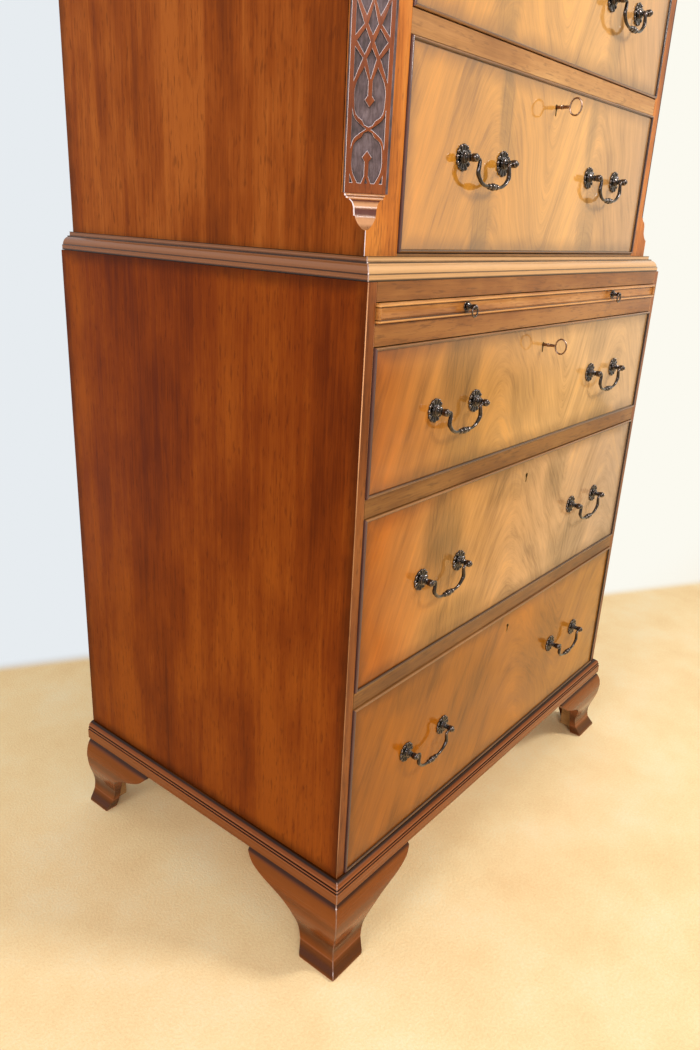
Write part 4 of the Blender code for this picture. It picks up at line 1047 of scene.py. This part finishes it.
def keyhole_outline(x, z, grow=0.0):
    """The outline of a keyhole: a round hole with a slot below it."""
    slot = KEYHOLE_SLOT / 2 + grow
    radius = KEYHOLE_RADIUS + grow
    start = -math.acos(slot / radius)
    steps = [step / KEYHOLE_STEPS for step in range(KEYHOLE_STEPS + 1)]
    turns = [start + (math.pi - 2 * start) * step for step in steps]
    outline = [(x + radius * math.cos(turn), z + radius * math.sin(turn)) for turn in turns]
    end = z - KEYHOLE_LENGTH - grow
    return outline + [(x - slot, end), (x + slot, end)]


def drawn_back(sections):
    """Loops from pairs of a flat outline and the depth at which it lies."""
    return [[(x, y, z) for x, z in outline] for outline, y in sections]


def keyhole_liner(body, x, front, z, depth):
    """The thin metal lining let into a keyhole."""
    inner = keyhole_outline(x, z)
    outer = keyhole_outline(x, z, LINER * 0.9)
    near, far = front - LINER_PROUD, front + depth - GAP
    shape = skin(drawn_back(((inner, near), (inner, far), (outer, far), (outer, near))), closed=True)
    piece(body + "_keyhole_liner", shape, "liner_metal", body)


def bead_nose(width, proud, flank, steps):
    """The outer flank and the half-round nose of a bead, as (inset, depth) from its front."""
    nose = [(0.0, FRONT_BOARD), (0.0, -proud * flank)]
    for step in range(1, steps):
        turn = math.pi * step / steps
        swell = flank + (1 - flank) * math.sin(turn)
        nose.append((width / 2 * (1 - math.cos(turn)), -proud * swell))
    return nose


def framed(profile, left, right, bottom, top, front):
    """Loops round a rectangle, one for each (inset, depth) of a profile."""
    return [
        rectangle(left + inset, right - inset, bottom + inset, top - inset, front + depth)
        for inset, depth in profile
    ]


def cockbead(body, low, high, front):
    """The mitred bead round a drawer front, with a half-round nose."""
    profile = bead_nose(BEAD_WIDTH, BEAD_PROUD, BEAD_FLANK, BEAD_STEPS)
    profile += [(BEAD_WIDTH, -BEAD_PROUD * BEAD_FLANK), (BEAD_WIDTH, FRONT_BOARD)]
    shape = skin(framed(profile, low.x, high.x, low.z, high.z, front), closed=True)
    for face in shape.faces:
        centre = face.calc_center_median()
        upright = min(centre.x - low.x, high.x - centre.x) < BEAD_WIDTH
        face.material_index = 1 if upright else 0
    piece(body + "_cockbead", shape, "bead_wood_X bead_wood_Z", body)


def front_panel(name, low, high, front, seed, figure, locked):
    """The veneered panel of a drawer front with its keyhole, and the pocket of a lock behind it."""
    inset = BEAD_WIDTH + GAP / 4
    panel_low = (low.x + inset, front, low.z + inset)
    panel_high = (high.x - inset, front + FRONT_BOARD, high.z - inset)
    veneer = name + "_veneer"
    flame(veneer, panel_low, panel_high, seed, *figure)
    shape = block(panel_low, panel_high)
    panel = piece(name + "_panel", shape, veneer, name, name + "_front", arris=PANEL_EDGE)
    middle = (low.x + high.x) / 2
    key_z = high.z - KEYHOLE_DROP
    if locked:
        cut(panel, block(
            (middle - POCKET_WIDTH / 2, front + POCKET_FRONT, key_z - POCKET_FOOT),
            (middle + POCKET_WIDTH / 2, front + FRONT_BOARD + OVERRUN, high.z + OVERRUN)))
    depth = POCKET_FRONT if locked else KEYHOLE_DEPTH
    hole = keyhole_outline(middle, key_z, LINER)
    far = front + depth + (GAP if locked else 0)
    cut(panel, skin(drawn_back(((hole, front - OVERRUN), (hole, far)))))
    return middle, key_z, depth


def drawer(name, front, seed):
    """The looks of one drawer: veneered front, bead, keyhole, handles and lined box."""
    low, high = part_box(name + "_front")
    locked = name in LOCKED
    middle, key_z, depth = front_panel(name, low, high, front, seed, FIGURES[name], locked)
    keyhole_liner(name, middle, front, key_z, depth)
    cockbead(name, low, high, front)
    for bail in sorted(body for body in frame["bodies"] if body.startswith(name + "_bail")):
        x, y, z = joints[bail]["pos_m"]
        copy_of("bail", bail + "_handle", (x, y, z), bail, bail)
        for side, hand in SIDES:
            place = (x + hand * PIN_PITCH / 2, front, z)
            copy_of("rosette", bail + "_rosette_" + side, place, name)
            copy_of("post", bail + "_post_" + side, place, name)
    finish_node(name + "_box", "lining_wood")
    if locked:
        key(name + "_key")
        finish_node(name + "_lock_bolt", "key_metal")


def finish_node(node, material):
    """Gives a node of the frame a better material."""
    mesh = frame["nodes"][node].data
    mesh.materials.clear()
    mesh.materials.append(bpy.data.materials[material])


def key(name):
    """A key in its lock: collared shaft, oval bow and bit."""
    x, y, z = joints[name]["pos_m"]
    bow_back = KEY_REACH - KEY_BOW_LENGTH
    shaft = [(-KEY_INSIDE, 0.0), (-KEY_INSIDE, KEY_SHAFT)]
    shaft += [(along, KEY_SHAFT * share) for along, share in KEY_COLLARS]
    shaft += [
        (bow_back - 0.002, KEY_SHAFT * 0.95), (bow_back + KEY_BOW_WIRE, KEY_SHAFT * 0.80),
        (bow_back + KEY_BOW_WIRE, 0.0),
    ]
    shape = lathe(shaft, Vector((x, y, z)))
    half_length = KEY_BOW_LENGTH / 2 - KEY_BOW_WIRE
    half_height = KEY_BOW_HEIGHT / 2 - KEY_BOW_WIRE
    centre = Vector((x, y - KEY_REACH + KEY_BOW_LENGTH / 2, z))
    spokes = circle(Vector(), DEEP * -half_length, UP * half_height, KEY_BOW_STEPS)
    leans = circle(Vector(), DEEP * -half_height, UP * half_length, KEY_BOW_STEPS)
    loops = [
        circle(centre + spoke, lean.normalized() * KEY_BOW_WIRE, ACROSS * KEY_BOW_WIRE, WIRE_SIDES)
        for spoke, lean in zip(spokes, leans)
    ]
    skin(loops, closed=True, shape=shape)
    half = KEY_BIT_WIDTH / 2
    skin([
        rectangle(x - half, x + half, z - KEY_BIT_DROP, z - KEY_SHAFT / 2, y + out)
        for out in (KEY_INSIDE - KEY_BIT_LENGTH, KEY_INSIDE - GAP)
    ], shape=shape)
    piece(name + "_turned", shape, "key_metal", name, name)


def slide_front():
    """The pull-out slide: its board, the beaded front and the two ring pulls."""
    low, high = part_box("brushing_slide")
    front = lower_low.y
    rings = {name: joints[name]["pos_m"] for name in ("slide_ring_left", "slide_ring_right")}
    ring_z = rings["slide_ring_left"][2]
    half_height = high.z - ring_z
    quirk = SLIDE_BEAD + SLIDE_QUIRK
    profile = bead_nose(SLIDE_BEAD, SLIDE_PROUD, SLIDE_FLANK, SLIDE_STEPS)
    profile += [(inset, -RING_FACE + SLIDE_QUIRK) for inset in (SLIDE_BEAD, quirk)]
    profile.append((quirk, -RING_FACE))
    for step in range(1, HOLLOW_STEPS + 1):
        share = step / HOLLOW_STEPS
        sunk = SLIDE_HOLLOW * math.sin(share * math.pi / 2)
        profile.append((quirk + (half_height - quirk) * share * 0.999, -RING_FACE + sunk))
    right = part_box("lower_drawer_1_front")[1].x
    loops = framed(profile, -right, right, ring_z - half_height, ring_z + half_height, front)
    piece("slide_front", skin(loops), "slide_wood", "slide", "brushing_slide")
    board_low = (low.x, front + FRONT_BOARD + GAP, low.z)
    board_high = (high.x, high.y, low.z + SLIDE_BOARD)
    piece("slide_board", block(board_low, board_high), "tan_wood", "slide", arris=ARRIS)
    for name, (x, y, z) in rings.items():
        face = (x, front - RING_FACE + SLIDE_HOLLOW, z)
        copy_of("ring_rosette", name + "_rosette", face, "slide")
        copy_of("ring_post", name + "_post", face, "slide")
        copy_of("ring", name + "_ring", (x, y, z), name, name)


def glint_corners(shape):
    """Gives the faces that cut off an outer corner the second material, which carries a painted highlight."""
    shape.normal_update()
    bmesh.ops.recalc_face_normals(shape, faces=shape.faces)
    for face in shape.faces:
        if abs(face.normal.x) > 0.25 and abs(face.normal.y) > 0.25:
            face.material_index = 1


def moulding(name, node, tone, shares, start, run, insides):
    """A mitred moulding round three sides of the lower case, with painted highlights on its chamfered
    corners.

    Its profile is (side out, front out, height). It starts and runs outwards by the shares, and it
    ends inside the case, by as much at the side and at the front as the insides say.
    """
    half, front, back = -lower_low.x, lower_low.y, lower_high.y
    low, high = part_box(node)
    profile = []
    for out, up in smooth_points(shares, 4):
        reach = start + run * out
        profile.append((reach, reach, low.z + (high.z - low.z) * up))
    profile += [(*insides, high.z), (*insides, low.z)]

    def section(hand, inward, behind):
        """The profile at a corner of the case, moved inwards and back from the corner."""
        return [
            (hand * (half + side - inward), front - ahead + behind, z) for side, ahead, z in profile]

    for part, hand in SIDES:
        shape = skin([
            [(hand * (half + side), back, z) for side, _, z in profile],
            section(hand, 0.0, 2 * CORNER_CHAMFER), section(hand, CORNER_CHAMFER, CORNER_CHAMFER),
        ])
        glint_corners(shape)
        piece(name + "_" + part, shape, tone + "_wood_Y glint_wood", "lower_case", crease=28)
    shape = skin([
        section(-1, CORNER_CHAMFER, CORNER_CHAMFER), section(-1, 2 * CORNER_CHAMFER, 0.0),
        section(1, 2 * CORNER_CHAMFER, 0.0), section(1, CORNER_CHAMFER, CORNER_CHAMFER),
    ])
    glint_corners(shape)
    piece(name + "_front", shape, tone + "_wood_X glint_wood", "lower_case", node, crease=28)


def bracket_foot(name, hand, at_back):
    """One ogee bracket foot, as two brackets mitred at the corner."""
    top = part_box(name)[1].z
    corner_y = lower_high.y if at_back else lower_low.y
    outward = 1 if at_back else -1

    def place(side, ahead, z):
        """A point, by how far it is outside the case's side and beyond its front or back."""
        return (hand * (side - lower_low.x), corner_y + outward * ahead, z)

    ogee = smooth_points([(FOOT_BULGE * out, top * up) for out, up in FOOT_PROFILE], 6)
    arch = smooth_points([(FOOT_LENGTH * along, top * up) for along, up in FOOT_ARCH], 6)
    levels = sorted({round(point[1], 6) for point in ogee + arch if 0 <= point[1] <= top} | {0.0, top})
    side_loops, face_loops = [], []
    for z in levels:
        out = at_height(ogee, z)
        proud = 0.0 if at_back else out
        reach = at_height(arch, z) if z < arch[0][1] else FOOT_LENGTH
        outer = place(out - CORNER_CHAMFER, proud - CORNER_CHAMFER, z)
        inner = place(-FOOT_BOARD, -FOOT_BOARD, z)
        side_loops.append([
            place(out, proud - 2 * CORNER_CHAMFER, z), outer, inner, place(-FOOT_BOARD, -reach, z),
            place(out, -reach, z),
        ])
        face_loops.append([
            place(out - 2 * CORNER_CHAMFER, proud, z), outer, inner, place(-reach, -FOOT_BOARD, z),
            place(-reach, proud, z),
        ])
    for part, loops, axis, node in (("side", side_loops, "Y", None), ("face", face_loops, "X", name)):
        shape = skin(loops)
        # The chamfer at the corner carries a painted highlight
        glint_corners(shape)
        looks = "foot_wood_" + axis + " glint_wood"
        piece(name + "_" + part, shape, looks, "lower_case", node, crease=28)
    near = place(-FOOT_BOARD - GAP, -FOOT_BOARD - GAP, FOOT_BLOCK_LIFT)
    far = place(-FOOT_BLOCK, -FOOT_BLOCK, top)
    corners = [[pick(pair) for pair in zip(near, far)] for pick in (min, max)]
    piece(name + "_block", block(*corners), "lining_wood", "lower_case", arris=ARRIS)


def lower_case_looks():
    """Feet, base, sides, rails and the waist moulding of the lower case."""
    low, high = lower_low, lower_high
    for end in ("front", "back"):
        for side, hand in SIDES:
            bracket_foot("foot_" + end + "_" + side, hand, end == "back")
    moulding(
        "base_moulding", "base_frame", "base", BASE_PROFILE, 0.0, BASE_PROJECTION,
        (-BASE_PROJECTION, -BASE_PROJECTION))
    inside = BASE_PROJECTION + GAP
    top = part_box("base_frame")[1].z
    bed = block((low.x + inside, low.y + inside, top - BED_DEPTH), (-low.x - inside, high.y, top))
    piece("base_bed", bed, "lining_wood", "lower_case", arris=ARRIS)
    for side, hand in SIDES:
        veneer = "lower_side_veneer_" + side
        side_finish(veneer, *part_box("lower_side_" + side), 11.0 + hand, LOWER_SIDE)
        board("lower", side, veneer + " lower_stile_wood soft_glint_wood")
    moulding(
        "waist_mould", "waist_moulding", "waist", WAIST_PROFILE, -WAIST_LEDGE, -WAIST_RUN,
        (low.x - upper_low.x + WAIST_CLEARANCE, low.y - post_low.y + WAIST_CLEARANCE))
    slide_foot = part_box("brushing_slide")[0].z - FRONT_BOARD
    for node in ("lower_divider_1", "lower_divider_2", "lower_divider_3", "lower_top_board"):
        under_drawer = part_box(node)[1].z < slide_foot
        finish_node(node, "rail_wood" if under_drawer else "ledge_wood")
    finish_node("lower_back", "back_wood")


def board(case, side, looks):
    """A case side: veneered on its faces, lipped on its front edge, with an arris between them."""
    node = case + "_side_" + side
    shape = block(*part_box(node))
    shape.normal_update()
    for face in shape.faces:
        face.material_index = 1 if abs(face.normal.y) > 0.5 else 0
    thing = piece(case + "_side_board_" + side, shape, looks, case + "_case", node, arris=ARRIS)
    # The arris between takes the third material: on the lower case a painted highlight
    for face in thing.data.polygons:
        if abs(face.normal.x) > 0.3 and face.normal.y < -0.3:
            face.material_index = 2


def corner_post(side, hand, veneer):
    """A canted corner: the post with its lamb's-tongue stop, its sunk ground and the pierced fret."""
    node = "corner_post_" + side
    low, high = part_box(node)
    opening, half = sorted((abs(low.x), abs(high.x)))
    front, rear = low.y, high.y
    stop_bottom = low.z + STOP_FOOT
    stop_top = stop_bottom + STOP_HEIGHT
    ground = CANT + FRET_THICKNESS * math.sqrt(2)
    levels = [(POST_EDGE, low.z), (POST_EDGE, stop_bottom - STOP_STEP)]
    levels += [(CANT * depth, stop_bottom + STOP_HEIGHT * up) for depth, up in smooth_points(STOP_PROFILE, 4)]
    levels += [(ground, stop_top + GROUND_STEP), (ground, high.z)]
    shape = skin([
        [
            (hand * half, front + depth + POST_CHAMFER, z),
            (hand * (half - depth * POST_CHAMFER_SHARE), front + depth * (1 - POST_CHAMFER_SHARE), z),
            (hand * (half - depth), front, z),
            (hand * opening, front, z), (hand * opening, rear, z), (hand * half, rear, z),
        ] for depth, z in levels
    ])
    shape.normal_update()
    for face in shape.faces:
        centre = face.calc_center_median()
        aside = face.normal.x * hand
        if abs(aside) > 0.2 and face.normal.y < -0.2:
            # Side chamfers and the cant below the stop take the cut edge in painted highlight and shade
            rubbed = aside > 0.8 or centre.z < stop_bottom
            face.material_index = 4 if rubbed else 1 if centre.z > stop_top else 2
        elif aside > 0.9:
            face.material_index = 3
    looks = "stile_wood fret_ground tongue_wood " + veneer + " fret_edge"
    piece(node + "_body", shape, looks, "upper_case", node, crease=28)
    fret(side, hand, half, front, stop_top, high.z)


def fret_sheet(side, half, period, ends):
    """The fret as a flat sheet with rounded edges, about its lowest crossing."""
    curve = bpy.data.curves.new("fret_" + side, "CURVE")
    curve.dimensions = "2D"
    curve.fill_mode = "BOTH"
    curve.resolution_u = 5
    curve.extrude = FRET_THICKNESS / 2 - FRET_ROUNDING
    curve.bevel_depth = FRET_ROUNDING
    curve.bevel_resolution = 1
    right = half - FRET_ROUNDING
    bottom, top = ends[0] + FRET_ROUNDING, ends[1] - FRET_ROUNDING
    corners = ((-right, bottom), (right, bottom), (right, top), (-right, top))
    for outline in [[(x, y, True) for x, y in corners]] + fret_openings(half, period):
        add_outline(curve, outline)
    guide = set_down("fret_curve", curve)
    shape = bmesh.new()
    shape.from_mesh(evaluated(guide))
    bpy.data.objects.remove(guide, do_unlink=True)
    return shape


def fret(side, hand, half_width, front, bottom, top):
    """The pierced fret planted on a canted corner."""
    first = bottom + FRET_RAIL + FRET_TAIL
    last = top - FRET_HEAD - FRET_RAIL - FRET_TAIL
    period = (last - first) / (FRET_CROSSINGS - 1)
    shape = fret_sheet(side, CANT / math.sqrt(2), period, (bottom - first, top - FRET_HEAD - first))
    outward = Vector((hand, -1, 0)).normalized()
    for vertex in shape.verts:
        across = vertex.co.x / math.sqrt(2)
        place = Vector((
            hand * (half_width - CANT / 2 - across), front + CANT / 2 - across, first + vertex.co.y))
        vertex.co = place + outward * (vertex.co.z - FRET_THICKNESS / 2)
    bmesh.ops.remove_doubles(shape, verts=shape.verts, dist=FRET_WELD)
    bmesh.ops.recalc_face_normals(shape, faces=shape.faces)
    for face in shape.faces:
        # Walls and rounded edges take the cut edges in painted highlight and painted shade, by which way they
        # face
        facing = face.normal.dot(outward)
        face.material_index = 2 if facing < 0.2 else 1 if facing < 0.97 else 0
    piece("fret_" + side, shape, "fret_wood fret_edge fret_wall", "upper_case", crease=25)


def add_outline(curve, points):
    """Adds a closed outline of (across, up, corner) to a flat curve."""
    spline = curve.splines.new("BEZIER")
    spline.bezier_points.add(len(points) - 1)
    spline.use_cyclic_u = True
    for knot, (across, up, corner) in zip(spline.bezier_points, points):
        knot.co = (across, up, 0)
        knot.handle_left_type = knot.handle_right_type = "VECTOR" if corner else "AUTO"


def mirrored(points):
    """An outline mirrored across the middle of the fret."""
    return [(-across, up, corner) for across, up, corner in reversed(points)]


def flipped(points):
    """An outline turned over, from above a crossing to below it."""
    return [(across, -up, corner) for across, up, corner in reversed(points)]


def clipped(points, limit):
    """An outline cut off level at a height."""
    kept = []
    for (x0, y0, corner), (x1, y1, _) in zip(points, points[1:] + points[:1]):
        if y0 <= limit:
            kept.append((x0, y0, corner))
        if (y0 <= limit) != (y1 <= limit):
            kept.append((x0 + (x1 - x0) * (limit - y0) / (y1 - y0), limit, True))
    return kept


def fret_openings(half, period):
    """Every opening of one fret above its first crossing."""
    tall = period / 2
    pocket = FRET_POCKET + mirrored(FRET_POCKET)[1:-1]
    kite = FRET_KITE + mirrored(FRET_KITE)[1:-1]
    upward = (pocket, kite, FRET_EDGE, mirrored(FRET_EDGE))
    spandrel = flipped(FRET_SPANDREL[1:]) + FRET_SPANDREL
    diamond = FRET_DIAMOND + flipped(FRET_DIAMOND[1:-1])
    openings = []

    def open_up(outline, base, turn=1):
        """Adds an opening above or below a base."""
        openings.append([(half * x, base + turn * tall * y, corner) for x, y, corner in outline])

    for crossing in range(FRET_CROSSINGS):
        base = crossing * period
        for turn, last in ((1, FRET_CROSSINGS - 1), (-1, 0)):
            for outline in upward:
                open_up(clipped(outline, FRET_TAIL / tall if crossing == last else 1), base, turn)
        for outline in (spandrel, mirrored(spandrel)):
            open_up(outline, base)
        if crossing:
            for outline in (diamond, mirrored(diamond)):
                open_up(outline, base - tall)
    return [opening for opening in openings if len(opening) > 2]


def cornice():
    """The cornice moulding round the canted plan, the frieze rail and the top board."""
    low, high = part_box("cornice")
    half, front, back = -upper_low.x, post_low.y, upper_high.y
    bottom = upper_high.z + CORNICE_GAP

    def corners(out, z):
        """The six corners of the canted plan, moved outwards."""
        slant = CANT + out * (2 - math.sqrt(2))
        return [
            (-half - out, back, z), (-half - out, front - out + slant, z),
            (-half - out + slant, front - out, z), (half + out - slant, front - out, z),
            (half + out, front - out + slant, z), (half + out, back, z),
        ]

    rings = [
        corners(CORNICE_PROJECTION * out, bottom + (high.z - bottom) * up)
        for out, up in smooth_points(CORNICE_PROFILE, 4)
    ]
    rings += [corners(-CORNICE_INSIDE, z) for z in (high.z, bottom)]
    for index, name in enumerate(("side_left", "corner_left", "front", "corner_right", "side_right")):
        shape = skin([[ring[index + end] for ring in rings] for end in (0, 1)])
        looks = "cornice_wood_" + ("Y" if name.startswith("side") else "X")
        piece("cornice_" + name, shape, looks, "upper_case", crease=28)
    edge = -post_high.x - GAP
    rail = block((-edge, front, low.z), (edge, front + FRONT_BOARD, bottom - GAP))
    piece("frieze_rail", rail, "tan_wood", "upper_case", "cornice", arris=ARRIS / 2)
    reach = half - CORNICE_INSIDE - GAP
    under = high.z - TOP_BOARD
    rear = block((-reach, back - BACK_RAIL, bottom), (reach, back, under - 2 * GAP))
    piece("cornice_back_rail", rear, "back_wood", "upper_case", arris=ARRIS / 2)
    plan = [(x, min(y, back - GAP)) for x, y, _ in corners(-CORNICE_INSIDE - GAP, 0.0)]
    shape = skin([[(x, y, z) for x, y in plan] for z in (under, high.z - TOP_SUNK)])
    piece("top_board", shape, "back_wood", "upper_case", arris=ARRIS / 2)


def upper_case_looks():
    """Sides, posts, rails and cornice of the upper case."""
    leaf = upper_low.y + (upper_high.y - upper_low.y) * LEAF_SHARE
    for side, hand in SIDES:
        low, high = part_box("upper_side_" + side)
        veneered = Vector((low.x, post_low.y, low.z))
        veneer = "upper_side_veneer_" + side
        side_finish(veneer, veneered, high, 21.0 + hand, UPPER_SIDE, leaf)
        board("upper", side, veneer + " stile_wood " + veneer)
        corner_post(side, hand, veneer)
    for node in ("upper_divider_1", "upper_divider_2", "upper_divider_3", "upper_bottom_board"):
        finish_node(node, "tan_wood")
    finish_node("upper_back", "back_wood")
    cornice()


def floor():
    """The flat floor under the chest."""
    shape = bmesh.new()
    bmesh.ops.create_grid(shape, x_segments=8, y_segments=8, size=FLOOR_SIZE)
    mesh = bpy.data.meshes.new("floor")
    shape.to_mesh(mesh)
    shape.free()
    carpet("floor_pile")
    mesh.materials.append(bpy.data.materials["floor_pile"])
    set_down("floor", mesh)


def world():
    """Soft light from all round, with the pale backdrop where it is seen directly."""
    studio = bpy.data.worlds.new("studio")
    bpy.context.scene.world = studio
    studio.use_nodes = True
    graph = Graph("studio", tree=studio.node_tree)
    graph.nodes.clear()
    lighting = graph.value("Background", {"Color": WORLD_COLOUR, "Strength": WORLD_STRENGTH})
    view = backdrop(graph, graph.value("TexCoord", {}, "Generated"))
    seen = graph.value("Background", {"Color": view, "Strength": 1.0})
    graph.node("OutputWorld", {0: graph.blend(seen_directly(graph), lighting, seen)})


def lamp(name, place, target, size, power, colour):
    """A soft square lamp that faces a target."""
    data = bpy.data.lights.new(name, "AREA")
    data.size = size
    data.energy = power
    data.color = colour
    thing = set_down(name, data)
    thing.location = place
    thing.rotation_euler = (Vector(target) - Vector(place)).to_track_quat("-Z", "Y").to_euler()


def camera():
    """The camera at the photograph's angle."""
    yaw, pitch, roll = (math.radians(turn) for turn in (CAMERA_YAW, CAMERA_PITCH, CAMERA_ROLL))
    level = math.cos(pitch)
    forward = Vector((math.sin(yaw) * level, math.cos(yaw) * level, math.sin(pitch)))
    data = bpy.data.cameras.new("camera")
    data.lens = CAMERA_LENS
    data.sensor_width = CAMERA_SENSOR
    thing = set_down("camera", data)
    thing.location = CAMERA_PLACE
    turn = forward.to_track_quat("-Z", "Y") @ Quaternion((0, 0, 1), roll)
    thing.rotation_euler = turn.to_euler()
    bpy.context.scene.camera = thing


def dress():
    """Puts the looks on every node of the frame."""
    finishes()
    shared("bail", bail_shape())
    shared("rosette", rosette_shape(ROSETTE_RADIUS))
    shared("post", post_shape(POST_REACH, POST_UNIT, PIN_OUT))
    shared("ring", ring_shape())
    shared("ring_rosette", rosette_shape(RING_ROSETTE))
    shared("ring_post", post_shape(RING_REACH, RING_UNIT, RING_OUT))
    lower_case_looks()
    upper_case_looks()
    slide_front()
    for index, name in enumerate(FIGURES):
        drawer(name, (lower_low if name.startswith("lower") else post_low).y, index + 1.0)


dress()
floor()
world()
for settings in LAMPS:
    lamp(*settings)
camera()
bpy.context.scene.view_settings.view_transform = "Standard"
